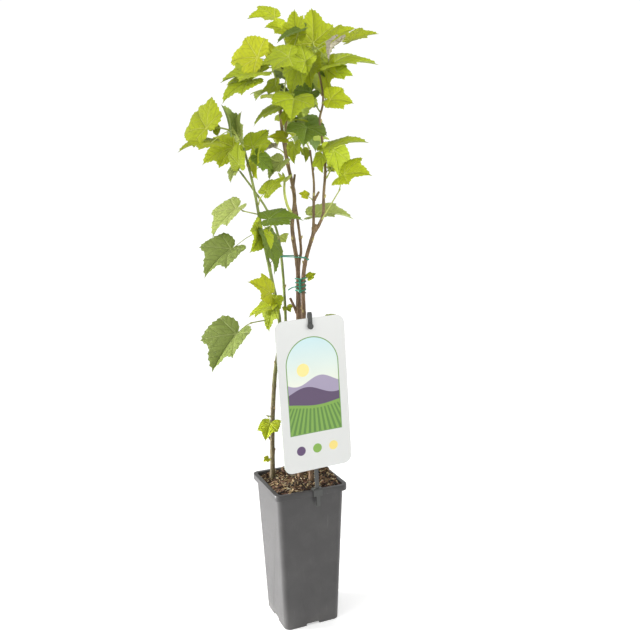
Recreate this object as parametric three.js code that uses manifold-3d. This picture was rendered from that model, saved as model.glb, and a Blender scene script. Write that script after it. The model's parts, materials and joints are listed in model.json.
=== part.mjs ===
// A young blackcurrant bush in a tall square nursery pot, with its hanging picture label.
// Millimetres, +Z up. The origin is under the middle of the pot, on the level that it stands on.
// The pot's front wall faces -Y. The plant's places are given in a frame of its own, which is turned
// a little about Z against the pot: x to its right, y to its back, z up from the same origin.
import * as THREE from 'three';
import { mergeVertices } from 'three/addons/utils/BufferGeometryUtils.js';
import Module from 'manifold-3d';

const wasm = await Module();
wasm.setup();

// Driving dimensions
const GAP = 0.3;
const PLANT_TURN = -23;

const POT_RIM = 108;
const POT_BASE = 83;
const POT_HEIGHT = 207;
const POT_WALL = 1.6;
const POT_FLOOR = 2.2;
const POT_CORNER = 9;
const CORNER_STEPS = 4;
const RIM_HEIGHT = 8;
const RIM_PROUD = 4.4;
const RIM_ROUND = 1;
const FOOT_CHAMFER = 1.5;
const NOTCH_WIDTH = 20;
const NOTCH_HEIGHT = 4;
const NOTCH_DEPTH = 6;

const SOIL_TOP = 203;
const SOIL_EDGE_DROP = 5;
const SOIL_FLAT_SHARE = 0.86;

const LABEL_WIDTH = 100;
const LABEL_HEIGHT = 211;
const LABEL_CORNER = 12;
const LABEL_THICK = 0.8;
const LABEL_LEAN = 2.4;
const LABEL_TOP = 449;
const LABEL_MIDDLE_X = 0.5;
const LABEL_HOLE_RADIUS = 2.4;
const LABEL_HOLE_BELOW_TOP = 11;

const HOLDER_WIDTH = 5.6;
const HOLDER_THICK = 1.8;
const HOLDER_FOOT_X = 6.6;
const HOLDER_TOP = 457;
const HOLDER_TONGUE = 23;
const CLIP_WIDTH = 13.5;
const CLIP_DROP = 8.6;
const HOLDER_LEG = 7;
const HOLDER_SET_IN = 2.8;
const HOLDER_BEND = 3;
const BUTTON_RADIUS = 4;
const BUTTON_THICK = 1.6;

const TIE_RADIUS = 0.7;
const TIE_STEPS = 18;
const TIE_SIDES = 5;
const TIE_LOOP_HEIGHT = 527;
const WINDING_HEIGHTS = [478, 485, 492, 499];

const LIMB_SIDES = 8;
const LIMB_STEP = 22;
const FLARE = 1.45;
const FLARE_HEIGHT = 5;
const TWIG_RADIUS = 1.1;
const TWIG_TIP_RADIUS = 0.8;
const TWIG_SIDES = 5;
const BARE_SHARE = 0.4;
const PETIOLE_RADIUS = 0.75;
const PETIOLE_END_RADIUS = 0.3;
const PETIOLE_SAG = 0.08;
const PETIOLE_SUNK = 0.06;
const BLADE_THICK = 0.8;
const BLADE_FOLD = 0.3;
const BLADE_ARCH = 0.22;
const BLADE_DROP = 1.6;
const BLADE_ROOM = 1.7;
const TWIG_ROOM = 1.4;
const LIMB_ROOM = 1.2;
const BLADE_STEP = 4.2;
const STALK_STEP = 2;
const SHIFT = 4;
const SHIFT_STEPS = 8;
const RAISE = 6;

// The stems, boughs and shoots: radius at the foot and at the tip, then the places they pass.
const LIMBS = {
  stem_middle: [3.6, 1.9, [[2, 4, SOIL_TOP + GAP], [5, 2, 330], [5, 2, 438], [6, 0, 509], [0, 0, 567],
    [4, 2, 610], [-6, 0, 665], [-11, -1, 712], [-10, -2, 741]]],
  stem_right: [3.3, 2.6, [[18, -12, SOIL_TOP + GAP], [15, -11, 330], [13, -10, 446], [15, -10, 510],
    [31, -8, 566]]],
  stem_back: [2.4, 1.4, [[10, 18, SOIL_TOP + GAP], [9, 13, 350], [7, 11, 500], [11, 9, 540], [3, 14, 610],
    [-5, 16, 665], [-6, 20, 700], [0, 28, 740]]],
  bough_inner: [2.1, 1.3, [[29.3, -8, 567], [30.5, -8, 605], [31, -4, 630], [27, 2, 671]]],
  bough_outer: [2.3, 1.3, [[33.7, -8, 565.6], [38, -9, 573], [43, -10, 586], [44, -8, 611],
    [47, -3, 648], [43, 2, 690], [41, 4, 712], [46, 5, 740], [38, 3, 788]]],
  shoot_left: [3.5, 1.5, [[-39, 12, SOIL_TOP + GAP], [-36, 2, 287], [-30, -8, 359], [-20, -18, 430],
    [-29, -24, 501], [-39, -28, 559], [-48, -28, 618], [-60, -24, 674]]],
  shoot_slim: [2.3, 1.2, [[-12, 18, SOIL_TOP + GAP], [-13, 15, 330], [-14, 11, 476], [-20, 4, 556],
    [-34, -6, 593], [-52, -14, 622], [-67, -20, 644]]],
};

// The foliage masses. Each has the limb that carries it, its place as a share of that limb's length,
// its stem (turn, rise, length), and its leaves from the foot of the stem to the tip:
// petiole turn, rise and length, blade length, then where the blade points, its droop and its roll.
// Turns are seen from above, from 0 at the plant's right by 90 at its back. A mass with a rule has
// its leaves dealt out by that: how many, from which turn to which, and the seed.
const MASSES = [
  { name: 'foliage_left_high', limb: 'shoot_left', share: 1, stem: [205, 60, 26], leaves: [
    [75, 2, 10, 34, 300, -74, 86], [156, 34, 14, 34, 212, -72, -46], [154, 12, 36, 20, 79, -59, 61],
    [184, 7, 36, 56, 114, -33, -55], [189, -32, 33, 48, 200, 10, -18]] },
  { name: 'foliage_left_mid', limb: 'shoot_slim', share: 1, stem: [200, 40, 8], leaves: [
    [100, 40, 47, 52, 175, 24, -47], [344, 27, 7, 31, 32, -81, 10], [67, -11, 6, 22, 196, 61, -22]] },
  { name: 'foliage_left_inner', limb: 'shoot_left', share: 0.9, stem: [60, 75, 36], leaves: [
    [297, 54, 13, 36, 275, 72, 66], [14, -7, 36, 31, 194, 50, -33], [291, -20, 10, 31, 19, 46, 50],
    [155, 39, 8, 36, 30, -43, 38]] },
  { name: 'leaf_left_small', limb: 'shoot_left', share: 0.81, stem: [300, 60, 8], leaves: [
    [345, 49, 15, 33, 16, -38, 21]] },
  { name: 'foliage_mid_left', limb: 'shoot_left', share: 0.7, stem: [330, 62, 28], leaves: [
    [188, -26, 58, 53, 203, 40, -30], [224, -21, 17, 38, 240, 45, -78], [258, 24, 15, 47, 11, 2, 22],
    [168, -60, 24, 52, 340, 74, -2]] },
  { name: 'leaf_mid_pale', limb: 'shoot_slim', share: 0.62, stem: [206, 13, 36], leaves: [
    [189, 17, 11, 51, 191, 46, -22]] },
  { name: 'leaf_mid_small', limb: 'shoot_slim', share: 0.5, stem: [85, -10, 6], leaves: [
    [85, -12, 3, 26, 118, 47, 0]] },
  { name: 'foliage_base_left', limb: 'shoot_left', share: 0.51, stem: [250, 40, 8], leaves: [
    [280, -26, 10, 41, 223, 75, 11], [266, -39, 12, 40, 160, 29, -24], [248, 43, 13, 38, 221, -35, -60]] },
  { name: 'leaf_base_big', limb: 'shoot_left', share: 0.46, stem: [216, -3, 40], leaves: [
    [208, -30, 26, 61, 208, 54, -22]] },
  { name: 'leaf_base_small', limb: 'shoot_left', share: 0.17, stem: [236, 20, 8], leaves: [
    [317, -54, 10, 28, 250, 50, 0]] },
  { name: 'foliage_top_right', limb: 'bough_outer', share: 1, stem: [185, 80, 18], leaves: [
    [105, 58, 17, 50, 94, -76, 12], [0, -43, 27, 64, 359, 9, 24], [30, 17, 59, 41, 1, -11, 26],
    [327, 20, 33, 32, 5, -21, 35], [5, -60, 28, 42, 300, 84, 92], [196, -76, 19, 38, 268, 75, 42],
    [31, -65, 29, 28, 329, 34, 42], [10, -48, 45, 24, 0, 12, 53]] },
  { name: 'foliage_top_left', limb: 'stem_middle', share: 1, stem: [203, 73, 53], leaves: [
    [300, -77, 13, 23, 159, 20, -57], [221, -27, 42, 47, 193, 41, -29], [233, -19, 27, 54, 181, 14, -31],
    [209, 17, 20, 50, 145, -2, -63], [303, -6, 49, 40, 169, 11, -49], [36, -38, 7, 27, 166, -69, -28]] },
  { name: 'foliage_top', limb: 'stem_middle', share: 0.95, stem: [40, 78, 66], leaves: [
    [308, 23, 38, 42, 149, 64, -77], [333, 66, 58, 36, 171, 27, -29], [304, 12, 46, 36, 169, -34, -53],
    [340, 65, 38, 36, 121, -79, -76], [217, 82, 40, 27, 192, -8, -50], [130, 63, 67, 40, 196, 6, -38]] },
  { name: 'leaf_fan', limb: 'bough_outer', share: 0.84, stem: [290, 10, 8], leaves: [
    [314, 1, 11, 33, 10, 9, 58]] },
  { name: 'leaf_dark', limb: 'bough_outer', share: 0.8, stem: [135, 50, 22], leaves: [
    [101, 60, 13, 35, 172, 31, -55]] },
  { name: 'foliage_centre', limb: 'stem_middle', share: 0.89, stem: [320, 55, 22], leaves: [
    [325, -67, 9, 20, 194, 67, -32], [236, -15, 21, 43, 173, 31, -26], [291, -7, 18, 48, 265, 49, -8]] },
  { name: 'leaf_centre_small', limb: 'stem_middle', share: 0.8, stem: [250, 10, 6], leaves: [
    [301, 0, 9, 21, 187, -1, -46]] },
  { name: 'foliage_centre_low', limb: 'bough_inner', share: 1, stem: [215, 60, 20], leaves: [
    [111, -44, 16, 18, 310, 72, -9], [142, -19, 20, 26, 275, 78, 50], [318, 52, 12, 46, 262, 35, -11]] },
  { name: 'foliage_right', limb: 'bough_outer', share: 0.45, stem: [340, 60, 18], leaves: [
    [142, 52, 24, 26, 275, 78, 55], [301, 78, 25, 42, 354, 81, 40], [227, 69, 24, 56, 355, -14, 14]] },
  { name: 'leaf_star', limb: 'bough_outer', share: 0.2, stem: [307, 44, 52], leaves: [
    [320, 67, 22, 42, 322, 0, 46]] },
  { name: 'leaf_pale_right', limb: 'bough_inner', share: 0.22, stem: [110, -30, 12], leaves: [
    [24, -33, 8, 55, 357, 1, 18]] },
  { name: 'foliage_back_high', limb: 'stem_back', share: 1, stem: [60, 70, 56], leaves: [],
    rule: { count: 8, from: 30, to: 150, seed: 42 } },
  { name: 'foliage_back_right', limb: 'stem_back', share: 0.8, stem: [60, 20, 30], leaves: [],
    rule: { count: 5, from: 50, to: 130, seed: 20 } },
  { name: 'foliage_back_left', limb: 'stem_back', share: 0.92, stem: [90, 50, 30], leaves: [],
    rule: { count: 5, from: 50, to: 140, seed: 21 } },
];

// Small helpers for vectors and shapes
const radians = THREE.MathUtils.degToRad;
const vector = (x, y, z) => new THREE.Vector3(x, y, z);

// The direction that turns from +x about z and rises from the level.
function heading(turn, rise) {
  const flat = Math.cos(radians(rise));
  return vector(Math.cos(radians(turn)) * flat, Math.sin(radians(turn)) * flat, Math.sin(radians(rise)));
}

// The same numbers on each run, from a seed.
function seeded(seed) {
  let state = seed;
  const draw = () => {
    state = (state * 48271) % 2147483647;
    return state / 2147483647;
  };
  draw();
  return draw;
}

function geometryFrom(vertices, faces) {
  const geometry = new THREE.BufferGeometry();
  const places = new Float32Array(vertices.flatMap((v) => [v.x, v.y, v.z]));
  geometry.setAttribute('position', new THREE.BufferAttribute(places, 3));
  geometry.setIndex(faces.flat());
  return geometry;
}

function solid(geometry) {
  const bare = geometry.clone();
  bare.deleteAttribute('normal');
  bare.deleteAttribute('uv');
  const merged = mergeVertices(bare, 1e-3);
  return new wasm.Manifold(new wasm.Mesh({
    numProp: 3,
    vertProperties: merged.attributes.position.array,
    triVerts: new Uint32Array(merged.index.array),
  }));
}

function geometryOf(made) {
  const mesh = made.getMesh();
  const geometry = new THREE.BufferGeometry();
  geometry.setAttribute('position', new THREE.BufferAttribute(mesh.vertProperties, 3));
  geometry.setIndex(new THREE.BufferAttribute(mesh.triVerts, 1));
  return geometry;
}

const joined = (parts) => geometryOf(parts.map(solid).reduce((whole, part) => whole.add(part)));

// A closed skin over rings of equal count, with a fan at each end. Rings run counter-clockwise
// seen from the far side of the sweep.
function skin(rings, first, last) {
  const count = rings[0].length;
  const vertices = [first, ...rings.flat(), last];
  const faces = [];
  const at = (ring, k) => 1 + ring * count + (k % count);
  for (let k = 0; k < count; k += 1) {
    faces.push([0, at(0, k + 1), at(0, k)]);
    faces.push([vertices.length - 1, at(rings.length - 1, k), at(rings.length - 1, k + 1)]);
    for (let ring = 1; ring < rings.length; ring += 1) {
      faces.push([at(ring - 1, k), at(ring - 1, k + 1), at(ring, k + 1)]);
      faces.push([at(ring - 1, k), at(ring, k + 1), at(ring, k)]);
    }
  }
  return geometryFrom(vertices, faces);
}

// A tube through the points with its own radius at each. Its first ring is level where flatFoot is set.
function taperedTube(points, radii, sides, flatFoot = false) {
  let side = vector(1, 0, 0);
  const rings = points.map((point, k) => {
    const before = points[Math.max(k - 1, 0)];
    const after = points[Math.min(k + 1, points.length - 1)];
    const ahead = k === 0 && flatFoot ? vector(0, 0, 1) : after.clone().sub(before).normalize();
    if (k === 0 && Math.abs(ahead.x) > 0.9) side = vector(0, 1, 0);
    side.addScaledVector(ahead, -side.dot(ahead)).normalize();
    const other = ahead.clone().cross(side);
    return Array.from({ length: sides }, (_, n) => {
      const angle = (2 * Math.PI * n) / sides;
      return point.clone()
        .addScaledVector(side, radii[k] * Math.cos(angle))
        .addScaledVector(other, radii[k] * Math.sin(angle));
    });
  });
  return skin(rings, points[0], points[points.length - 1]);
}

// The pot and the soil in it
function squareRing(half, corner, z) {
  const ring = [];
  for (let quarter = 0; quarter < 4; quarter += 1) {
    for (let step = 0; step <= CORNER_STEPS; step += 1) {
      const angle = radians(90 * (quarter + step / CORNER_STEPS));
      const turn = radians(quarter * 90 + 45);
      const reach = (half - corner) * Math.SQRT2;
      ring.push(vector(
        reach * Math.cos(turn) + corner * Math.cos(angle),
        reach * Math.sin(turn) + corner * Math.sin(angle),
        z,
      ));
    }
  }
  return ring;
}

const wallTop = POT_HEIGHT - RIM_HEIGHT;
const wallTopHalf = POT_RIM / 2 - RIM_PROUD;
const outerHalf = (z) => POT_BASE / 2 + (wallTopHalf - POT_BASE / 2) * (z / wallTop);
const innerHalf = (z) => outerHalf(z) - POT_WALL;
const innerCorner = POT_CORNER - POT_WALL;

function archedNotch() {
  const round = NOTCH_HEIGHT / 2;
  const half = NOTCH_WIDTH / 2;
  const shape = new THREE.Shape();
  shape.moveTo(-half, -1);
  shape.lineTo(half, -1);
  shape.lineTo(half, NOTCH_HEIGHT - round);
  shape.absarc(half - round, NOTCH_HEIGHT - round, round, 0, Math.PI / 2);
  shape.absarc(-half + round, NOTCH_HEIGHT - round, round, Math.PI / 2, Math.PI);
  shape.lineTo(-half, -1);
  const depth = NOTCH_DEPTH;
  const geometry = new THREE.ExtrudeGeometry(shape, { depth, bevelEnabled: false, curveSegments: 3 });
  geometry.rotateX(Math.PI / 2);
  return geometry.translate(0, -POT_BASE / 2 + NOTCH_DEPTH - 1, 0);
}

function potGeometry() {
  const rimHalf = POT_RIM / 2;
  const rings = [
    squareRing(outerHalf(0) - FOOT_CHAMFER, POT_CORNER, 0),
    squareRing(outerHalf(FOOT_CHAMFER), POT_CORNER, FOOT_CHAMFER),
    squareRing(wallTopHalf, POT_CORNER, wallTop),
    squareRing(rimHalf - RIM_ROUND, POT_CORNER, wallTop),
    squareRing(rimHalf, POT_CORNER, wallTop + RIM_ROUND),
    squareRing(rimHalf, POT_CORNER, POT_HEIGHT - RIM_ROUND),
    squareRing(rimHalf - RIM_ROUND, POT_CORNER, POT_HEIGHT),
    squareRing(innerHalf(wallTop) + RIM_ROUND, innerCorner, POT_HEIGHT),
    squareRing(innerHalf(wallTop), innerCorner, POT_HEIGHT - RIM_ROUND),
    squareRing(innerHalf(POT_FLOOR), innerCorner, POT_FLOOR),
  ];
  let pot = solid(skin(rings, vector(0, 0, 0), vector(0, 0, POT_FLOOR)));
  for (let side = 0; side < 4; side += 1) {
    pot = pot.subtract(solid(archedNotch().rotateZ(side * Math.PI / 2)));
  }
  return geometryOf(pot);
}

function soilGeometry() {
  const edge = SOIL_TOP - SOIL_EDGE_DROP;
  const topHalf = innerHalf(edge) - GAP;
  const rings = [
    squareRing(innerHalf(POT_FLOOR) - GAP, innerCorner, POT_FLOOR + GAP),
    squareRing(topHalf, innerCorner, edge),
    squareRing(topHalf * SOIL_FLAT_SHARE, innerCorner, SOIL_TOP),
  ];
  return skin(rings, vector(0, 0, POT_FLOOR + GAP), vector(0, 0, SOIL_TOP));
}

// The label that hangs on its holder, in front of the stems
const holderBack = -POT_RIM / 2 + HOLDER_SET_IN;
const labelBack = holderBack - HOLDER_THICK - GAP;
const hookBack = labelBack - LABEL_THICK - GAP;

function atLabel(geometry) {
  return geometry
    .rotateY(-radians(LABEL_LEAN))
    .translate(LABEL_MIDDLE_X, 0, LABEL_TOP - LABEL_HOLE_BELOW_TOP);
}

function labelGeometry() {
  const half = LABEL_WIDTH / 2;
  const top = LABEL_HOLE_BELOW_TOP;
  const foot = top - LABEL_HEIGHT;
  const round = LABEL_CORNER;
  const shape = new THREE.Shape();
  shape.moveTo(-half + round, foot);
  shape.absarc(half - round, foot + round, round, -Math.PI / 2, 0);
  shape.absarc(half - round, top - round, round, 0, Math.PI / 2);
  shape.absarc(-half + round, top - round, round, Math.PI / 2, Math.PI);
  shape.absarc(-half + round, foot + round, round, Math.PI, 1.5 * Math.PI);
  const hole = new THREE.Path();
  hole.absarc(0, 0, LABEL_HOLE_RADIUS, 0, 2 * Math.PI);
  shape.holes.push(hole);
  const depth = LABEL_THICK;
  const geometry = new THREE.ExtrudeGeometry(shape, { depth, bevelEnabled: false, curveSegments: 6 });
  geometry.rotateX(Math.PI / 2);
  return atLabel(geometry.translate(0, labelBack, 0));
}

// A flat strip that follows a run of [y, z] places along its middle.
function strip(run, xFoot, xTop, width = HOLDER_WIDTH) {
  const low = Math.min(...run.map((place) => place[1]));
  const high = Math.max(...run.map((place) => place[1]));
  const middle = (z) => xFoot + ((xTop - xFoot) * (z - low)) / (high - low);
  const rings = run.map(([y, z], k) => {
    const [y0, z0] = run[Math.max(k - 1, 0)];
    const [y1, z1] = run[Math.min(k + 1, run.length - 1)];
    const along = new THREE.Vector2(y1 - y0, z1 - z0).normalize();
    const [ny, nz] = [(-along.y * HOLDER_THICK) / 2, (along.x * HOLDER_THICK) / 2];
    const x = middle(z);
    return [
      vector(x - width / 2, y - ny, z - nz),
      vector(x - width / 2, y + ny, z + nz),
      vector(x + width / 2, y + ny, z + nz),
      vector(x + width / 2, y - ny, z - nz),
    ];
  });
  const end = (ring) => ring[0].clone().add(ring[2]).multiplyScalar(0.5);
  return skin(rings, end(rings[0]), end(rings[rings.length - 1]));
}

function holderGeometry() {
  const half = HOLDER_THICK / 2;
  const riser = holderBack - half;
  const front = hookBack - half;
  const pinX = LABEL_MIDDLE_X;
  const pinZ = LABEL_TOP - LABEL_HOLE_BELOW_TOP;
  const bridge = POT_HEIGHT + GAP + half;
  const outside = -POT_RIM / 2 - GAP - half;
  const inside = -innerHalf(wallTop) + GAP + half;
  const bend = HOLDER_TOP - half;
  const [quarter, third] = [(riser - front) / 4, HOLDER_BEND / 3];
  const hook = [[riser, POT_HEIGHT + 1], [riser, bend - HOLDER_BEND], [riser - quarter, bend - third],
    [(riser + front) / 2, bend], [front + quarter, bend - third], [front, bend - HOLDER_BEND], [front, pinZ]];
  const clip = [[outside, POT_HEIGHT - CLIP_DROP], [outside, bridge - half], [outside + half, bridge],
    [inside - half, bridge], [inside, bridge - half], [inside, bridge - HOLDER_LEG]];
  const tongue = [[outside, POT_HEIGHT - HOLDER_TONGUE], [outside, POT_HEIGHT - CLIP_DROP + half]];
  const pinRadius = LABEL_HOLE_RADIUS - GAP;
  const pin = new THREE.CylinderGeometry(pinRadius, pinRadius, riser - front, 16);
  pin.translate(pinX, (riser + front) / 2, pinZ);
  const button = new THREE.CylinderGeometry(BUTTON_RADIUS, BUTTON_RADIUS, BUTTON_THICK + half, 24);
  button.translate(pinX, front - (BUTTON_THICK + half) / 2, pinZ);
  const bracket = strip(clip, HOLDER_FOOT_X, HOLDER_FOOT_X, CLIP_WIDTH);
  const blade = strip(tongue, HOLDER_FOOT_X, HOLDER_FOOT_X);
  return joined([strip(hook, HOLDER_FOOT_X, pinX), bracket, blade, pin, button]);
}

// Limbs and the ties round them. A limb that rises from the soil flares towards its flat foot.
function limb([foot, tip, places]) {
  const stations = places.map((place) => vector(...place));
  const curve = new THREE.CatmullRomCurve3(stations, false, 'catmullrom', 0.5);
  const rise = places.at(-1)[2] - places[0][2];
  const steps = Math.round(rise / LIMB_STEP);
  const flared = places[0][2] < SOIL_TOP + 1;
  const shares = Array.from({ length: steps + 1 }, (_, k) => k / steps);
  if (flared) shares.splice(1, 0, shares[1] / 3);
  const points = shares.map((share) => curve.getPoint(share));
  const radii = shares.map((share, k) => {
    const flare = flared ? (FLARE - 1) * Math.exp((places[0][2] - points[k].z) / FLARE_HEIGHT) : 0;
    return (foot + (tip - foot) * share) * (1 + flare);
  });
  return { shares, points, radii, flared };
}

const limbs = Object.fromEntries(Object.entries(LIMBS).map(([name, sizes]) => [name, limb(sizes)]));

// The place, direction and radius of a limb on the way from one of its points to the next.
function limbBetween({ points, radii }, next, part) {
  return {
    point: points[next - 1].clone().lerp(points[next], part),
    tangent: points[next].clone().sub(points[next - 1]).normalize(),
    radius: radii[next - 1] + (radii[next] - radii[next - 1]) * part,
  };
}

function limbAtShare(name, share) {
  const { shares } = limbs[name];
  const next = Math.max(shares.findIndex((value) => value >= share), 1);
  return limbBetween(limbs[name], next, (share - shares[next - 1]) / (shares[next] - shares[next - 1]));
}

function limbAtHeight(name, z) {
  const { points } = limbs[name];
  const next = points.findIndex((point) => point.z >= z);
  return limbBetween(limbs[name], next, (z - points[next - 1].z) / (points[next].z - points[next - 1].z));
}

// The middle of a cord drawn round the limbs at one height.
function cordRound(names, z) {
  const held = names.map((name) => limbAtHeight(name, z));
  return Array.from({ length: TIE_STEPS }, (_, k) => {
    const out = heading((360 * k) / TIE_STEPS, 0);
    const reach = ({ point, radius }) => point.dot(out) + radius;
    const furthest = held.reduce((best, one) => (reach(one) > reach(best) ? one : best));
    return furthest.point.clone().setZ(z).addScaledVector(out, furthest.radius + GAP + TIE_RADIUS);
  });
}

function tieGeometry(cord) {
  const vertices = cord.flatMap((middle, k) => {
    const out = heading((360 * k) / TIE_STEPS, 0);
    return Array.from({ length: TIE_SIDES }, (_, n) => {
      const around = (2 * Math.PI * n) / TIE_SIDES;
      return middle.clone()
        .addScaledVector(out, TIE_RADIUS * Math.cos(around))
        .add(vector(0, 0, TIE_RADIUS * Math.sin(around)));
    });
  });
  const faces = [];
  for (let k = 0; k < TIE_STEPS; k += 1) {
    for (let n = 0; n < TIE_SIDES; n += 1) {
      const [p, q] = [k * TIE_SIDES, ((k + 1) % TIE_STEPS) * TIE_SIDES];
      const m = (n + 1) % TIE_SIDES;
      faces.push([p + n, q + n, q + m], [p + n, q + m, p + m]);
    }
  }
  return geometryFrom(vertices, faces);
}

const BUNCH = ['shoot_slim', 'stem_middle', 'stem_right', 'stem_back'];
const TIES = { tie_loop: cordRound(BUNCH, TIE_LOOP_HEIGHT) };
WINDING_HEIGHTS.forEach((z, k) => {
  TIES[`tie_turn_${k + 1}`] = cordRound(['stem_middle', 'stem_right'], z);
});

// Leaves: the outline of a blade by angle from its midrib and share of its length, on one side.
const HALF_OUTLINE = [[0, 1], [27, 0.66], [48, 0.76], [120, 0.5], [160, 0.24]];
const OTHER_HALF = HALF_OUTLINE.slice(1).reverse().map(([angle, share]) => [-angle, share]);
const OUTLINE = [...HALF_OUTLINE, ...OTHER_HALF];

function bladeFrame(aim, droop, roll) {
  const along = heading(aim, -droop);
  const level = vector(-Math.sin(radians(aim)), Math.cos(radians(aim)), 0);
  const up = along.clone().cross(level);
  level.multiplyScalar(Math.cos(radians(roll)));
  const side = level.addScaledVector(up, Math.sin(radians(roll)));
  return { along, side, up: along.clone().cross(side) };
}

// A place on a blade, from the angle off its midrib and the share of its length.
function bladePoint(leaf, frame, angle, share) {
  const across = Math.sin(radians(angle)) * share;
  const ahead = Math.cos(radians(angle)) * share;
  const arch = ahead * (1 - ahead) - BLADE_DROP * across * across;
  const height = BLADE_FOLD * Math.abs(across) + BLADE_ARCH * arch;
  return leaf.joint.clone()
    .addScaledVector(frame.side, leaf.blade * across)
    .addScaledVector(frame.along, leaf.blade * ahead)
    .addScaledVector(frame.up, leaf.blade * height);
}

function bladeGeometry(leaf) {
  const frame = bladeFrame(leaf.aim, leaf.droop, leaf.roll);
  const rim = OUTLINE.map(([angle, share]) => bladePoint(leaf, frame, angle, share));
  const lifted = (point, by) => point.clone().addScaledVector(frame.up, by);
  const count = rim.length;
  const half = BLADE_THICK / 2;
  const vertices = [
    lifted(leaf.joint, half), ...rim.map((point) => lifted(point, half)),
    lifted(leaf.joint, -half), ...rim.map((point) => lifted(point, -half)),
  ];
  const faces = [];
  for (let k = 0; k < count; k += 1) {
    const next = (k + 1) % count;
    const [a, b] = [1 + k, 1 + next];
    const [c, d] = [count + 2 + k, count + 2 + next];
    faces.push([0, a, b], [count + 1, d, c], [a, c, d], [a, d, b]);
  }
  return geometryFrom(vertices, faces);
}

// A petiole rises a little on its way and ends inside the blade, under its midrib.
function petiolePoints(leaf) {
  const reach = leaf.joint.clone().sub(leaf.node);
  const middle = leaf.node.clone().addScaledVector(reach, 0.5);
  middle.z += PETIOLE_SAG * reach.length();
  const tip = bladePoint(leaf, bladeFrame(leaf.aim, leaf.droop, leaf.roll), 0, 1);
  return [leaf.node, middle, leaf.joint.clone().lerp(tip, PETIOLE_SUNK)];
}

// The leaves of a mass that its rule deals out, turned by the golden share so that they spread evenly.
function ruledLeaves({ count, from, to, seed }) {
  const draw = seeded(seed);
  return Array.from({ length: count }, (_, k) => {
    const turn = from + (to - from) * ((k * 0.618) % 1) + 20 * (draw() - 0.5);
    const rise = 10 + 40 * draw();
    const petiole = 16 + 22 * draw();
    const blade = 40 + 16 * draw();
    const aim = turn + 40 * (draw() - 0.5);
    const droop = 10 + 45 * draw();
    const roll = 40 * (draw() - 0.5);
    return [turn, rise, petiole, blade, aim, droop, roll];
  });
}

// Room already taken: spheres along each limb, twig and petiole, and over each blade.
const taken = [];

function spheresAlong(points, room, owner) {
  const spheres = [];
  for (let k = 1; k < points.length; k += 1) {
    const steps = Math.ceil(points[k].distanceTo(points[k - 1]) / STALK_STEP);
    for (let step = 0; step < steps; step += 1) {
      const centre = points[k - 1].clone().lerp(points[k], step / steps);
      spheres.push({ centre, room: Array.isArray(room) ? room[k] : room, owner });
    }
  }
  return spheres;
}

// How far the outline lies from the joint at an angle off the midrib.
function outlineShare(angle) {
  const next = HALF_OUTLINE.findIndex(([corner]) => corner >= angle);
  if (next < 0) return HALF_OUTLINE.at(-1)[1];
  if (next === 0) return 1;
  const [a0, s0] = HALF_OUTLINE[next - 1];
  const [a1, s1] = HALF_OUTLINE[next];
  return s0 + ((s1 - s0) * (angle - a0)) / (a1 - a0);
}

function spheresOver(leaf, owner) {
  const frame = bladeFrame(leaf.aim, leaf.droop, leaf.roll);
  const reach = Math.floor(leaf.blade / BLADE_STEP);
  const places = OUTLINE.map(([angle, share]) => bladePoint(leaf, frame, angle, share));
  for (let row = -reach; row <= reach; row += 1) {
    for (let column = -reach; column <= reach; column += 1) {
      const share = (Math.hypot(row, column) * BLADE_STEP) / leaf.blade;
      const angle = THREE.MathUtils.radToDeg(Math.atan2(row, column));
      if (share <= outlineShare(Math.abs(angle))) places.push(bladePoint(leaf, frame, angle, share));
    }
  }
  return places.map((centre) => ({ centre, room: BLADE_ROOM, owner }));
}

function clash(a, b) {
  const [dx, dy, dz] = [a.centre.x - b.centre.x, a.centre.y - b.centre.y, a.centre.z - b.centre.z];
  const room = a.room + b.room;
  return dx * dx + dy * dy + dz * dz < room * room;
}

// A leaf in its first free place: as planned, then raised or lowered a little, then moved forwards or
// back by one step more. A leaf that finds none may lean on the leaves of its own mass, and a leaf that
// still finds none is left out.
function settled(row, node, owner) {
  const [turn, rise, petiole, blade, aim, droop, roll] = row;
  const reach = petiole + blade + SHIFT * SHIFT_STEPS;
  const near = taken.filter(({ centre, room }) => centre.distanceTo(node) < reach + room + BLADE_ROOM);
  for (const others of [near, near.filter((sphere) => sphere.owner !== owner)]) {
    for (let step = 0; step <= SHIFT_STEPS; step += 1) {
      for (const forwards of [-1, 1]) {
        for (const raise of [0, RAISE, -RAISE]) {
          const joint = node.clone().addScaledVector(heading(turn, rise + raise), petiole);
          joint.y += forwards * step * SHIFT;
          const leaf = { node, joint, blade, aim, droop: droop - raise, roll };
          const stalk = spheresAlong(petiolePoints(leaf), TWIG_ROOM, owner).slice(1);
          const spheres = [...spheresOver(leaf, owner), ...stalk];
          if (!spheres.some((sphere) => others.some((other) => clash(sphere, other)))) {
            taken.push(...spheres);
            return leaf;
          }
        }
      }
    }
  }
  return null;
}

// The start of a mass's stem: just beyond the tip of its limb, or just beside the limb.
function stemStart(mass) {
  const away = heading(mass.stem[0], mass.stem[1]);
  const { point, tangent, radius } = limbAtShare(mass.limb, mass.share);
  const cosine = away.dot(tangent);
  if (mass.share === 1) {
    const sine = Math.sqrt(1 - cosine * cosine);
    return point.addScaledVector(away, GAP + (TWIG_RADIUS + radius) * sine);
  }
  const outward = away.clone().addScaledVector(tangent, -cosine).normalize();
  return point.addScaledVector(outward, radius + GAP + TWIG_RADIUS * Math.abs(cosine));
}

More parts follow.
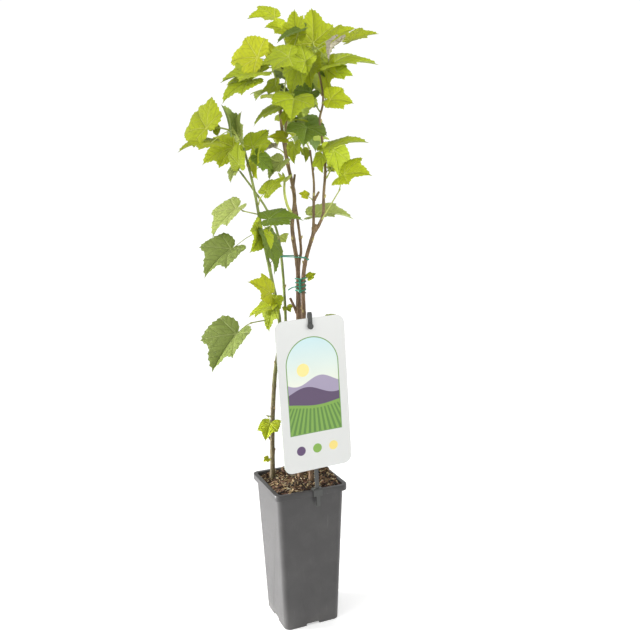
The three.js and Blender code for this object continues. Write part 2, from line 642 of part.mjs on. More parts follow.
function grownMasses() {
  for (const [name, { points, radii }] of Object.entries(limbs)) {
    taken.push(...spheresAlong(points, radii.map((radius) => radius + LIMB_ROOM), name));
  }
  for (const [name, cord] of Object.entries(TIES)) {
    taken.push(...spheresAlong([...cord, cord[0]], TIE_RADIUS + GAP, name));
  }
  const masses = MASSES.map((mass) => {
    const start = stemStart(mass);
    const end = start.clone().addScaledVector(heading(mass.stem[0], mass.stem[1]), mass.stem[2]);
    taken.push(...spheresAlong([start, end], TWIG_ROOM, mass.name).slice(1));
    return { ...mass, start, end };
  });
  for (const mass of masses) {
    const rows = mass.rule ? ruledLeaves(mass.rule) : mass.leaves;
    const leaves = rows.map((row, k) => {
      const share = BARE_SHARE + ((1 - BARE_SHARE) * (k + 1)) / rows.length;
      return settled(row, mass.start.clone().lerp(mass.end, share), mass.name);
    });
    mass.grown = leaves.filter((leaf) => leaf !== null);
  }
  return masses;
}

function massGeometry(mass) {
  const parts = [taperedTube([mass.start, mass.end], [TWIG_RADIUS, TWIG_TIP_RADIUS], TWIG_SIDES)];
  for (const leaf of mass.grown) {
    parts.push(taperedTube(petiolePoints(leaf), [PETIOLE_RADIUS, PETIOLE_RADIUS, PETIOLE_END_RADIUS], 3));
    parts.push(bladeGeometry(leaf));
  }
  return joined(parts);
}

// Materials
const finish = (color, roughness) => new THREE.MeshStandardMaterial({ color, roughness, metalness: 0 });
const PLASTIC = finish(0x555353, 0.45);
const SOIL = finish(0x3c2b20, 0.95);
const BARK = finish(0x6d5138, 0.85);
const YOUNG_BARK = finish(0x8a9a4a, 0.6);
const LEAF = finish(0xa4bc28, 0.5);
const CARD = finish(0xe9ece6, 0.4);
const CORD = finish(0x23997a, 0.5);

function named(name, geometry, material) {
  const mesh = new THREE.Mesh(geometry, material);
  mesh.name = name;
  return mesh;
}

const plant = new THREE.Group();
plant.rotation.z = radians(PLANT_TURN);
for (const [name, { points, radii, flared }] of Object.entries(limbs)) {
  const material = name.startsWith('shoot') ? YOUNG_BARK : BARK;
  plant.add(named(name, taperedTube(points, radii, LIMB_SIDES, flared), material));
}
for (const mass of grownMasses()) {
  plant.add(named(mass.name, massGeometry(mass), LEAF));
}
for (const [name, cord] of Object.entries(TIES)) {
  plant.add(named(name, tieGeometry(cord), CORD));
}

const bush = new THREE.Group();
bush.add(
  named('pot', potGeometry(), PLASTIC),
  named('soil', soilGeometry(), SOIL),
  named('label', labelGeometry(), CARD),
  named('label_holder', holderGeometry(), PLASTIC),
  plant,
);

export default bush;
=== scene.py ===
# A young blackcurrant bush in a tall square nursery pot, with its hanging picture label.
# Metres, in the CAD model's frame: +Z up from the level that the pot stands on, the label's wall at -Y.
import json
import math
from itertools import product

import bmesh
import bpy
import numpy as np
from mathutils import Matrix, Vector

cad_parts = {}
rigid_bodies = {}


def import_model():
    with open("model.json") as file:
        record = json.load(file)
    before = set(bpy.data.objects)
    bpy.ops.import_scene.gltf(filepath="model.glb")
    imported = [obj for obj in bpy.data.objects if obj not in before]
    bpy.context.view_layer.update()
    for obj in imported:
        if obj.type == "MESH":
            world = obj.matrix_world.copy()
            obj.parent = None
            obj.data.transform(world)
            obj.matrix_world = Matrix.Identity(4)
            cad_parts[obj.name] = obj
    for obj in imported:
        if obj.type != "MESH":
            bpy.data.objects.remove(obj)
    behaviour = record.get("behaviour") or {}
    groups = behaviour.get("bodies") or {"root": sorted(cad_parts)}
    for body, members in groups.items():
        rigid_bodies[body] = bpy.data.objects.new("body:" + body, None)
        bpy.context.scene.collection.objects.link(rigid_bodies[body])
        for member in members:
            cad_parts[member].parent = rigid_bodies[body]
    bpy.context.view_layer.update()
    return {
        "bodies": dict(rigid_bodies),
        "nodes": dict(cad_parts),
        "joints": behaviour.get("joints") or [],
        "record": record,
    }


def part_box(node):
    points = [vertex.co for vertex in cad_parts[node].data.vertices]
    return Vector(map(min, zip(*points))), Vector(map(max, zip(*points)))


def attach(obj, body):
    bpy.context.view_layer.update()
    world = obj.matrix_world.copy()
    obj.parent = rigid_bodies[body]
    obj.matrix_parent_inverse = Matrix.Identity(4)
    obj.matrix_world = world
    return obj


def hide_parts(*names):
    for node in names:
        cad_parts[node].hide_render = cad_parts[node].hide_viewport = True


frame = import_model()
bpy.ops.object.select_all(action="DESELECT")

# The camera looks from the photograph's own place, a little above the middle of the crown and
# turned so that one corner of the pot points at it.
PHOTO_WIDTH = 640
SENSOR_WIDTH = 36
FOCAL_PIXELS = 739.1
CAMERA_PLACE = (0.0354, -1.0224, 0.6004)
CAMERA_PITCH = math.radians(90 - 9.02)
CAMERA_ROLL = math.radians(-1.24)
PLANT_TURN = math.radians(-23)
camera_data = bpy.data.cameras.new("camera")
camera_data.sensor_width = SENSOR_WIDTH
camera_data.lens = FOCAL_PIXELS / PHOTO_WIDTH * SENSOR_WIDTH
camera = bpy.data.objects.new("camera", camera_data)
camera.matrix_world = (Matrix.Rotation(PLANT_TURN, 4, "Z") @ Matrix.Translation(CAMERA_PLACE)
                       @ Matrix.Rotation(CAMERA_PITCH, 4, "X") @ Matrix.Rotation(CAMERA_ROLL, 4, "Z"))
bpy.context.scene.collection.objects.link(camera)
bpy.context.scene.camera = camera

# The studio is a white table in a white room. The room's own light is even, and the camera sees it
# pure white. Each soft light has its place, its aim, its size, its power and its spread.
ROOM_LIGHT = 0.78
ROOM_SEEN = 1.05
TABLE_SIZE = 40
TABLE_GLOW = 0.42
SOFTBOXES = (
    ("key_light", (-1.5, -0.5, 1.7), (0, 0, 0.5), 0.9, 10, 180),
    ("side_light", (-1.5, 0.7, 0.7), (0, 0, 0.2), 0.7, 4, 180),
    ("pot_light", (-1.4, 0.6, 0.25), (0, 0, 0.08), 0.5, 3.8, 40),
    ("crown_light", (1.3, -1.3, 1.05), (0.04, 0, 0.79), 0.4, 0.6, 20),
)
bpy.context.scene.view_settings.view_transform = "Standard"


def new_node(tree, kind, inputs, **settings):
    """Adds a shader node. An input is a number, a colour, or the socket that feeds it."""
    made = tree.nodes.new("ShaderNode" + kind)
    for name, value in settings.items():
        setattr(made, name, value)
    for name, value in inputs.items():
        socket = made.inputs[name]
        if isinstance(value, bpy.types.NodeSocket):
            tree.links.new(value, socket)
        else:
            socket.default_value = (*value, 1) if socket.type == "RGBA" else value
    return made


def ranged(tree, value, start, end, low=0.0, high=1.0, **settings):
    """A value's run from start to end, carried over to the run from low to high."""
    inputs = {"Value": value, "From Min": start, "From Max": end, "To Min": low, "To Max": high}
    return new_node(tree, "MapRange", inputs, **settings).outputs["Result"]


def new_material(name, **fixed):
    """A material and its shader, with the shader's plain numbers and colours set."""
    material = bpy.data.materials.new(name)
    material.use_nodes = True
    shader = material.node_tree.nodes["Principled BSDF"]
    for socket, value in fixed.items():
        shader.inputs[socket.replace("_", " ")].default_value = value
    return material, material.node_tree, shader


world = bpy.data.worlds.new("white_room")
bpy.context.scene.world = world
world.use_nodes = True
tree = world.node_tree
seen_first = new_node(tree, "LightPath", {}).outputs["Is Camera Ray"]
room_light = tree.nodes["Background"].inputs
room_light["Color"].default_value = (1, 1, 1, 1)
tree.links.new(ranged(tree, seen_first, 0, 1, ROOM_LIGHT, ROOM_SEEN), room_light["Strength"])

bpy.ops.mesh.primitive_plane_add(size=TABLE_SIZE, location=(0, 0, 0))
floor = bpy.context.object
floor.name = "white_table"
table_white, tree, shader = new_material("table_white", Roughness=0.6, Emission_Color=(1, 1, 1, 1),
                                         Emission_Strength=TABLE_GLOW)
grain = new_node(tree, "TexNoise", {"Scale": 3.0, "Detail": 2.0}).outputs["Fac"]
tree.links.new(ranged(tree, grain, 0, 1, 0.86, 0.88), shader.inputs["Base Color"])
floor.data.materials.append(table_white)

for name, place, aim, size, power, spread in SOFTBOXES:
    data = bpy.data.lights.new(name, "AREA")
    data.size, data.energy, data.spread = size, power, math.radians(spread)
    lamp = bpy.data.objects.new(name, data)
    lamp.location = place
    lamp.rotation_euler = (Vector(aim) - Vector(place)).to_track_quat("-Z", "Y").to_euler()
    bpy.context.scene.collection.objects.link(lamp)

# The pot: a tall square nursery pot, moulded thin in dark grey plastic, with rounded corners, a
# rolled rim and a drainage notch in the middle of each bottom edge.
POT_RIM = 0.108
POT_BASE = 0.083
POT_HEIGHT = 0.207
RIM_HEIGHT = 0.008
RIM_PROUD = 0.0044
POT_WALL = 0.0016
POT_FLOOR = 0.0022
POT_CORNER = 0.009
CORNER_SEGMENTS = 8
EDGE_ROUND = 0.0011
EDGE_SEGMENTS = 3
EDGE_ANGLE = math.radians(35)
NOTCH_WIDTH = 0.020
NOTCH_HEIGHT = 0.004
NOTCH_DEPTH = 0.006
NOTCH_PROUD = 0.001
NOTCH_SEGMENTS = 4
WALL_TOP = POT_HEIGHT - RIM_HEIGHT
WALL_TOP_WIDTH = POT_RIM - 2 * RIM_PROUD
UPRIGHT = 0.9
LEVEL = 0.1


def start_editing(name):
    """Names the primitive just added, puts its size and place into its mesh and opens it for editing."""
    made = bpy.context.object
    made.name = name
    bpy.ops.object.transform_apply(location=True, rotation=True, scale=True)
    bpy.ops.object.mode_set(mode="EDIT")
    return made


def stop_editing():
    bpy.ops.object.mode_set(mode="OBJECT")
    return bpy.context.object


def choose(kind, wanted):
    """Selects the faces or edges whose middle and direction pass the test. A face's is its normal."""
    bpy.ops.mesh.select_mode(type=kind)
    bpy.ops.mesh.select_all(action="DESELECT")
    mesh = bmesh.from_edit_mesh(bpy.context.object.data)
    for part in mesh.faces if kind == "FACE" else mesh.edges:
        if kind == "FACE":
            middle, way = part.calc_center_median(), part.normal
        else:
            start, end = (corner.co for corner in part.verts)
            middle, way = (start + end) / 2, (end - start).normalized()
        part.select_set(bool(wanted(middle, way)))
    bmesh.update_edit_mesh(bpy.context.object.data)


def choose_top():
    choose("FACE", lambda middle, normal: normal.z > UPRIGHT)


def widen(scale):
    bpy.ops.transform.resize(value=(scale, scale, 1))


def extrude(rise):
    bpy.ops.mesh.extrude_region_move(TRANSFORM_OT_translate={"value": (0, 0, rise)})


def apply_modifier(piece, kind, **settings):
    bpy.context.view_layer.objects.active = piece
    bpy.ops.object.modifier_add(type=kind)
    modifier = piece.modifiers[-1]
    for name, value in settings.items():
        setattr(modifier, name, value)
    bpy.ops.object.modifier_apply(modifier=modifier.name)


def cut_away(piece, cutter):
    apply_modifier(piece, "BOOLEAN", object=cutter, operation="DIFFERENCE", solver="EXACT")
    bpy.data.objects.remove(cutter)


def finish_piece(piece, material, slot, smooth_angle, *nodes):
    """Smooths a piece, gives it its material and hands it to the frame in place of its CAD nodes."""
    bpy.ops.object.select_all(action="DESELECT")
    piece.select_set(True)
    bpy.context.view_layer.objects.active = piece
    bpy.ops.object.shade_smooth_by_angle(angle=math.radians(smooth_angle))
    piece.data.materials.clear()
    piece.data.materials.append(material)
    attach(piece, "root")
    if nodes:
        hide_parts(*nodes)
    piece.select_set(False)


bpy.ops.mesh.primitive_cube_add(size=1, location=(0, 0, WALL_TOP / 2), scale=(POT_BASE, POT_BASE, WALL_TOP))
pot = start_editing("pot_body")
choose_top()
widen(WALL_TOP_WIDTH / POT_BASE)
choose("EDGE", lambda middle, along: abs(along.z) > UPRIGHT)
bpy.ops.mesh.bevel(offset=POT_CORNER, segments=CORNER_SEGMENTS, affect="EDGES")
choose_top()
extrude(0)
widen(POT_RIM / WALL_TOP_WIDTH)
extrude(RIM_HEIGHT)
bpy.ops.mesh.inset(thickness=RIM_PROUD + POT_WALL)
extrude(POT_FLOOR - POT_HEIGHT)
widen((POT_BASE - 2 * POT_WALL) / (WALL_TOP_WIDTH - 2 * POT_WALL))
stop_editing()
cutters = []
for quarter in range(4):
    angle = quarter * math.pi / 2
    out = Vector((math.sin(angle), -math.cos(angle), 0)) * (POT_BASE / 2 - NOTCH_DEPTH / 2 + NOTCH_PROUD)
    bpy.ops.mesh.primitive_cube_add(size=1, location=out, rotation=(0, 0, angle),
                                    scale=(NOTCH_WIDTH, NOTCH_DEPTH, 2 * NOTCH_HEIGHT))
    start_editing(f"notch_{quarter}")
    choose("EDGE", lambda middle, along: abs(along.z) < LEVEL and middle.z > 0
           and abs(along.dot(out)) > UPRIGHT * out.length)
    bpy.ops.mesh.bevel(offset=NOTCH_HEIGHT / 2, segments=NOTCH_SEGMENTS, affect="EDGES")
    cutters.append(stop_editing())
for cutter in cutters:
    cut_away(pot, cutter)
apply_modifier(pot, "BEVEL", width=EDGE_ROUND, segments=EDGE_SEGMENTS, limit_method="ANGLE",
               angle_limit=EDGE_ANGLE)


def object_place(tree):
    return new_node(tree, "TexCoord", {}).outputs["Object"]


def height_in(tree, place):
    return new_node(tree, "SeparateXYZ", {"Vector": place}).outputs["Z"]


def noise(tree, place, scale, detail, roughness=0.5):
    inputs = {"Vector": place, "Scale": scale, "Detail": detail, "Roughness": roughness}
    return new_node(tree, "TexNoise", inputs).outputs["Fac"]


def mapped(tree, place, **settings):
    """A place turned and stretched, to draw a pattern out along one way."""
    return new_node(tree, "Mapping", {"Vector": place, **settings}).outputs["Vector"]


def calc(tree, operation, *values, **settings):
    """The result of one step of arithmetic on sockets and numbers."""
    return new_node(tree, "Math", dict(enumerate(values)), operation=operation, **settings).outputs["Value"]


def blend_colours(tree, share, first, second):
    inputs = {"Factor": share, "A": first, "B": second}
    return new_node(tree, "Mix", inputs, data_type="RGBA").outputs["Result"]


def toned(tree, colour, strength):
    return new_node(tree, "VectorMath", {0: colour, "Scale": strength}, operation="SCALE").outputs["Vector"]


def new_effect(name, colours, numbers=()):
    """A node group that several materials use, with its named inputs and the place on the object."""
    group = bpy.data.node_groups.new(name, "ShaderNodeTree")
    sockets = [(socket, "INPUT", "Color") for socket in colours]
    sockets += [(socket, "INPUT", "Float") for socket in numbers]
    sockets += [("Color", "OUTPUT", "Color"), ("Roughness", "OUTPUT", "Float"), ("Height", "OUTPUT", "Float")]
    for socket, way, kind in sockets:
        group.interface.new_socket(socket, in_out=way, socket_type="NodeSocket" + kind)
    return group, group.nodes.new("NodeGroupInput").outputs, object_place(group)


def end_effect(group, colour, roughness, height):
    ends = group.nodes.new("NodeGroupOutput").inputs
    for name, socket in (("Color", colour), ("Roughness", roughness), ("Height", height)):
        group.links.new(socket, ends[name])


def feed_shader(tree, shader, colour, height, depth, roughness=None):
    """Joins a colour, a relief of the given depth and perhaps a roughness to the shader."""
    relief = new_node(tree, "Bump", {"Height": height, "Distance": depth}).outputs["Normal"]
    for name, socket in (("Base Color", colour), ("Normal", relief), ("Roughness", roughness)):
        if socket is not None:
            tree.links.new(socket, shader.inputs[name])


def effect_material(name, effect, depth, values, **fixed):
    """A material that gives an effect its own values, with a relief of the given depth."""
    material, tree, shader = new_material(name, **fixed)
    made = new_node(tree, "Group", values, node_tree=effect).outputs
    feed_shader(tree, shader, made["Color"], made["Height"], depth, made["Roughness"])
    return material


# Scuffs and dust on moulded plastic, for the pot, the label's holder and the coat of the ties: faint
# scratches that gather in worn places, and dust near the level that the pot stands on.
worn, given, place = new_effect("worn_plastic", ("Clean", "Scuffed"), ("Foot Dust",))
clouds = noise(worn, place, 22.0, 5.0, 0.6)
scratches = noise(worn, mapped(worn, place, Rotation=(0.5, 0.4, 0.2), Scale=(1, 1, 0.12)), 420.0, 2.0)
worn_places = ranged(worn, clouds, 0.42, 0.72)
marks = calc(worn, "MULTIPLY", worn_places, ranged(worn, scratches, 0.62, 0.78))
near_foot = ranged(worn, height_in(worn, place), 0.035, 0.0)
dust = calc(worn, "MULTIPLY", calc(worn, "MULTIPLY", near_foot, clouds), given["Foot Dust"])
scuffs = calc(worn, "MULTIPLY_ADD", marks, 0.5, calc(worn, "MULTIPLY", worn_places, 0.22))
wear = calc(worn, "ADD", scuffs, dust, use_clamp=True)
relief = calc(worn, "MULTIPLY_ADD", marks, -0.6, noise(worn, place, 1800.0, 1.0))
end_effect(worn, blend_colours(worn, wear, given["Clean"], given["Scuffed"]),
           ranged(worn, wear, 0, 1, 0.34, 0.62), relief)


def worn_material(name, depth, clean, scuffed, foot_dust, **fixed):
    values = {"Clean": clean, "Scuffed": scuffed, "Foot Dust": foot_dust}
    return effect_material(name, worn, depth, values, **fixed)


pot_plastic = worn_material("pot_plastic", 0.00015, (0.039, 0.037, 0.037), (0.11, 0.107, 0.103), 0.9,
                            Specular_IOR_Level=0.5)
finish_piece(pot, pot_plastic, "pot", 32, "pot")

# The soil: compost of bark fibre, nearly level with the rim and lower at the left corner. Each heap
# has its height, its place across and away in the plant's own frame, and its spread.
SOIL_TOP = 0.203
SOIL_HALF = 0.0468
SOIL_CORNER = 0.0072
SOIL_DEEP = 0.03
SOIL_CELLS = 110
SOIL_HEAPS = ((0.008, 0.036, 0.024, 0.026), (0.006, -0.014, 0.042, 0.013), (-0.010, -0.056, 0, 0.02))
WALL_DIP = 0.0016
WALL_DIP_POWER = 8
CRUMB_RISE = 0.0011
CRUMB_SCALE = 260
CRUMB_SEED = 5
WAVE_OCTAVES = 5
WAVE_NARROWING = 1.7
WAVE_FADING = 1.5
WAVE_BEND = 0.8
WAVE_WHOLE = 2.2
TINY = 1e-5
TINIEST = 1e-9


def waves(x, y, scale, seed):
    """A smooth uneven height between about -1 and 1, from a few turned waves."""
    own = np.random.default_rng(seed)
    total = np.zeros_like(x)
    for octave in range(WAVE_OCTAVES):
        angle, phase, other = own.uniform(0, math.tau, 3)
        reach = scale * WAVE_NARROWING ** octave
        along = x * math.cos(angle) + y * math.sin(angle)
        across = y * math.cos(angle) - x * math.sin(angle)
        bend = np.sin(across * reach * WAVE_BEND + other)
        total += np.sin(along * reach + phase + bend) / WAVE_FADING ** octave
    return total / WAVE_WHOLE


def soil_height(x, y):
    """The compost's level: heaped at the back right, sunk towards the walls and the left corner."""
    plant_x = x * math.cos(PLANT_TURN) + y * math.sin(PLANT_TURN)
    plant_y = y * math.cos(PLANT_TURN) - x * math.sin(PLANT_TURN)
    rim = np.maximum(np.abs(x), np.abs(y)) / SOIL_HALF
    level = SOIL_TOP + WALL_DIP
    for height, heap_x, heap_y, spread in SOIL_HEAPS:
        level = level + height * np.exp(-((plant_x - heap_x) ** 2 + (plant_y - heap_y) ** 2) / spread ** 2)
    return level - WALL_DIP * rim ** WALL_DIP_POWER + CRUMB_RISE * waves(x, y, CRUMB_SCALE, CRUMB_SEED)


def with_round_corners(places, half, radius):
    """Places on a rectangle of the given half sides, pulled in where its corners are round."""
    past = np.abs(places) - (half - radius)
    pull = past.max(axis=1) / np.maximum(np.hypot(*past.T), TINIEST)
    rounded = (past > 0).all(axis=1)[:, None]
    return np.sign(places) * np.where(rounded, half - radius + past * pull[:, None], np.abs(places))


bpy.ops.mesh.primitive_grid_add(x_subdivisions=SOIL_CELLS, y_subdivisions=SOIL_CELLS, size=2 * SOIL_HALF,
                                location=(0, 0, 0))
soil = start_editing("soil_bed")
choose("EDGE", lambda middle, along: max(abs(middle.x), abs(middle.y)) > SOIL_HALF - TINY)
extrude(-SOIL_DEEP)
bpy.ops.mesh.edge_face_add()
bpy.ops.mesh.select_all(action="SELECT")
bpy.ops.mesh.normals_make_consistent(inside=False)
stop_editing()
corners = np.array([corner.co for corner in soil.data.vertices])
corners[:, :2] = with_round_corners(corners[:, :2], SOIL_HALF, SOIL_CORNER)
corners[:, 2] = np.where(corners[:, 2] > -SOIL_DEEP / 2, soil_height(corners[:, 0], corners[:, 1]),
                         SOIL_TOP - SOIL_DEEP)
soil.data.vertices.foreach_set("co", corners.ravel())
soil.data.update()


def graded(tree, value, stops, interpolation="LINEAR"):
    """A colour by a value, from stops that each have a place and a colour."""
    ramp = new_node(tree, "ValToRGB", {"Fac": value})
    ramp.color_ramp.interpolation = interpolation
    elements = ramp.color_ramp.elements
    for element, (position, colour) in zip(elements, (stops[0], stops[-1])):
        element.position, element.color = position, (*colour, 1)
    for position, colour in stops[1:-1]:
        elements.new(position).color = (*colour, 1)
    return ramp.outputs["Color"]


compost, tree, shader = new_material("compost", Roughness=0.95)
place = object_place(tree)
crumbs = new_node(tree, "TexVoronoi", {"Vector": place, "Scale": 420.0}).outputs["Distance"]
stained = graded(tree, noise(tree, place, 130.0, 6.0),
                 ((0.35, (0.014, 0.008, 0.005)), (0.68, (0.085, 0.044, 0.022))))
feed_shader(tree, shader, stained, crumbs, 0.0012)
finish_piece(soil, compost, "soil", 60, "soil")

# Chips of bark and fibres of wood strewn on the compost, each a small wedge that was torn rather than
# cut. Their colours are dealt out: dark bark, brown, red heartwood, tan, and now and then sapwood.
CHIP_COUNT = 2500
CHIP_SEED = 7
CHIP_REACH = 0.0455
CHIP_CORNER = 0.0105
CHIP_SIZES = ((0.0014, 0.0058), (0.0006, 0.0021), (0.0003, 0.0009))
CHIP_TINTS = (0, 0.9)
FIBRE_SHARE = 0.42
FIBRE_SIZES = ((0.0028, 0.0078), (0.0003, 0.00065), (0.0002, 0.0004))
FIBRE_TINTS = (0.55, 1)
TORN_SHARES = (0.55, 1.1)
CHIP_TILTS = (0.4, 0.38)
CHIP_RISES = (-0.0004, 0.003)
CHIP_COLOURS = ((0, (0.020, 0.012, 0.008)), (0.30, (0.07, 0.036, 0.02)), (0.52, (0.13, 0.06, 0.036)),
                (0.68, (0.25, 0.15, 0.08)), (0.80, (0.50, 0.36, 0.19)), (0.90, (0.82, 0.70, 0.46)))
BOX_CORNERS = np.array([[-1, -1, -1], [1, -1, -1], [1, 1, -1], [-1, 1, -1],
                        [-1, -1, 1], [1, -1, 1], [1, 1, 1], [-1, 1, 1]])
BOX_FACES = np.array([[0, 3, 2, 1], [4, 5, 6, 7], [0, 1, 5, 4], [1, 2, 6, 5], [2, 3, 7, 6], [3, 0, 4, 7]])


def mesh_from(name, vertices, faces, **attributes):
    """A mesh object from the vertices of its parts and its faces, with numbers for each face."""
    data = bpy.data.meshes.new(name)
    data.from_pydata(np.concatenate(vertices).tolist(), [], faces)
    for key, values in attributes.items():
        data.attributes.new(key, "FLOAT", "FACE").data.foreach_set("value", np.asarray(values, np.float32))
    piece = bpy.data.objects.new(name, data)
    bpy.context.scene.collection.objects.link(piece)
    return piece


rng = np.random.default_rng(CHIP_SEED)
chip_corners, chip_faces, chip_tints = [], [], []
for _ in range(CHIP_COUNT):
    x, y = rng.uniform(-CHIP_REACH, CHIP_REACH, 2)
    past = [max(abs(side) - (CHIP_REACH - CHIP_CORNER), 0) for side in (x, y)]
    if math.hypot(*past) > CHIP_CORNER:
        continue
    fibre = rng.random() < FIBRE_SHARE
    sizes = [rng.uniform(*span) for span in CHIP_SIZES]
    if fibre:
        sizes = [rng.uniform(*span) for span in FIBRE_SIZES]
    shape = BOX_CORNERS * sizes * rng.uniform(*TORN_SHARES, BOX_CORNERS.shape)
    turned = Matrix.Rotation(rng.uniform(0, math.tau), 3, "Z")
    for tilt, axis in zip(CHIP_TILTS, "XY"):
        turned = turned @ Matrix.Rotation(rng.normal(0, tilt), 3, axis)
    rise = float(soil_height(np.array(x), np.array(y))) + rng.uniform(*CHIP_RISES)
    chip_faces.append(BOX_FACES + len(BOX_CORNERS) * len(chip_faces))
    chip_corners.append(shape @ np.array(turned).T + np.array([x, y, rise]))
    chip_tints += [rng.uniform(*(FIBRE_TINTS if fibre else CHIP_TINTS))] * len(BOX_FACES)
chips = mesh_from("bark_chips", chip_corners, np.concatenate(chip_faces).tolist(), tint=chip_tints)

chip_wood, tree, shader = new_material("chip_wood", Roughness=0.85)
tint = new_node(tree, "Attribute", {}, attribute_name="tint").outputs["Fac"]
fibres = noise(tree, object_place(tree), 900.0, 3.0)
streaked = toned(tree, graded(tree, tint, CHIP_COLOURS, "CONSTANT"), ranged(tree, fibres, 0, 1, 0.55, 1.4))
feed_shader(tree, shader, streaked, fibres, 0.0003)
finish_piece(chips, chip_wood, "soil", 30)

# The stems, boughs and shoots, in millimetres in the plant's own frame: radius at the foot and at the
# tip, then the places they pass. Each is a tapering limb with buds along it, and a flare at the soil.
GAP = 0.3
SOIL_LEVEL = 203
LIMBS = {
    "stem_middle": (3.6, 1.9, ((2, 4, SOIL_LEVEL + GAP), (5, 2, 330), (5, 2, 438), (6, 0, 509), (0, 0, 567),
                               (4, 2, 610), (-6, 0, 665), (-11, -1, 712), (-10, -2, 741))),
    "stem_right": (3.3, 2.6, ((18, -12, SOIL_LEVEL + GAP), (15, -11, 330), (13, -10, 446), (15, -10, 510),
                              (31, -8, 566))),
    "stem_back": (2.4, 1.4, ((10, 18, SOIL_LEVEL + GAP), (9, 13, 350), (7, 11, 500), (11, 9, 540),
                             (3, 14, 610), (-5, 16, 665), (-6, 20, 700), (0, 28, 740))),
    "bough_inner": (2.1, 1.3, ((29.3, -8, 567), (30.5, -8, 605), (31, -4, 630), (27, 2, 671))),
    "bough_outer": (2.3, 1.3, ((33.7, -8, 565.6), (38, -9, 573), (43, -10, 586), (44, -8, 611),
                               (47, -3, 648), (43, 2, 690), (41, 4, 712), (46, 5, 740), (38, 3, 788))),
    "shoot_left": (3.5, 1.5, ((-39, 12, SOIL_LEVEL + GAP), (-36, 2, 287), (-30, -8, 359), (-20, -18, 430),
                              (-29, -24, 501), (-39, -28, 559), (-48, -28, 618), (-60, -24, 674))),
    "shoot_slim": (2.3, 1.2, ((-12, 18, SOIL_LEVEL + GAP), (-13, 15, 330), (-14, 11, 476), (-20, 4, 556),
                              (-34, -6, 593), (-52, -14, 622), (-67, -20, 644))),
}
LIMB_STEP = 22
FLARE = 1.45
FLARE_HEIGHT = 5
BARK_STEP = 2.2
BARK_SIDES = 20
OLD_RIDGES = 0.045
YOUNG_RIDGES = 0.015
RIDGE_WAVES = 6
RIDGE_COUNTS = (2, 8)
RIDGE_TWISTS = (0.01, 0.05)
RIDGE_WANDER = 1.5
RIDGE_WANDER_RATE = 3
RIDGE_WHOLE = 2.4
BUD_STEP = 34
BUD_SHIFT = 9
BUD_END = 12
BUD_SWELL = 0.13
BUD_SWELL_REACH = 2.6
BUD_RINGS = ((0, 0.9), (0.35, 1.05), (0.7, 0.75), (1, 0.08))
BUD_SIDES = 7
BUD_LEAN = 0.45
BUD_SEAT = 0.75
BUD_TIP = 0.1
LIMB_SPIRAL = 60
LIMB_BUD = (5.5, 1.25)
LEAF_SPIRAL = 137.5
FORK_SUNK = 4.5


def unit(vectors):
    return vectors / np.linalg.norm(vectors, axis=-1, keepdims=True)


def heading(turn, rise):
    """The direction that turns from +x about z and rises from the level."""
    turn, rise = math.radians(turn), math.radians(rise)
    return np.array([math.cos(turn) * math.cos(rise), math.sin(turn) * math.cos(rise), math.sin(rise)])


def run_along(points):
    """How far along the line of points each point lies."""
    return np.concatenate([[0], np.cumsum(np.linalg.norm(np.diff(points, axis=0), axis=1))])


def on_curve(places, share):
    """The point at a share of the smooth curve through the places."""
    stations = np.array([np.array(place, float) for place in places])
    padded = np.vstack([2 * stations[0] - stations[1], stations, 2 * stations[-1] - stations[-2]])
    reach = share * (len(stations) - 1)
    leg = min(int(reach), len(stations) - 2)
    part = reach - leg
    before, start, end, after = padded[leg:leg + 4]
    leave, arrive = (end - before) / 2, (after - start) / 2
    return (start + leave * part + (3 * (end - start) - 2 * leave - arrive) * part ** 2
            + (2 * (start - end) + leave + arrive) * part ** 3)


def curve_points(places, shares):
    return np.array([on_curve(places, share) for share in shares])


def grown_limb(foot, tip, places, step):
    """Shares, points and radii along a limb, with its flare where it rises from the soil."""
    legs = math.floor((places[-1][2] - places[0][2]) / step + 0.5)
    shares = [k / legs for k in range(legs + 1)]
    flared = places[0][2] < SOIL_LEVEL + 1
    if flared:
        shares.insert(1, shares[1] / 3)
    points = curve_points(places, shares)
    flare = (FLARE - 1) * np.exp((places[0][2] - points[:, 2]) / FLARE_HEIGHT) if flared else 0
    return np.array(shares), points, (foot + (tip - foot) * np.array(shares)) * (1 + flare)


def to_scene(points):
    """Millimetres in the plant's frame to metres in the scene's."""
    x, y, z = np.moveaxis(np.asarray(points) / 1000, -1, 0)
    return np.stack([x * math.cos(PLANT_TURN) - y * math.sin(PLANT_TURN),
                     x * math.sin(PLANT_TURN) + y * math.cos(PLANT_TURN), z], -1)


def tube(points, radii, sides):
    """Vertices and faces of a closed tapering tube, from one radius, one a point or one a corner."""
    ahead = unit(np.gradient(points, axis=0))
    side = np.array([1.0, 0, 0]) if abs(ahead[0][0]) < UPRIGHT else np.array([0, 1.0, 0])
    radii = np.asarray(radii, float)
    radii = np.broadcast_to(radii[:, None] if radii.ndim == 1 else radii, (len(points), sides))
    angles = np.arange(sides) * math.tau / sides
    rings = []
    for point, forward, radius in zip(points, ahead, radii):
        side = unit(side - forward * side.dot(forward))
        around = np.outer(np.cos(angles), side) + np.outer(np.sin(angles), np.cross(forward, side))
        rings.append(point + around * radius[:, None])
    vertices = np.concatenate([*rings, points[:1], points[-1:]])
    last = (len(points) - 1) * sides
    faces = []
    for k in range(sides):
        after = (k + 1) % sides
        for ring in range(0, last, sides):
            faces.append([ring + k, ring + after, ring + sides + after, ring + sides + k])
        faces += [[len(vertices) - 2, after, k], [len(vertices) - 1, last + k, last + after]]
    return vertices, faces


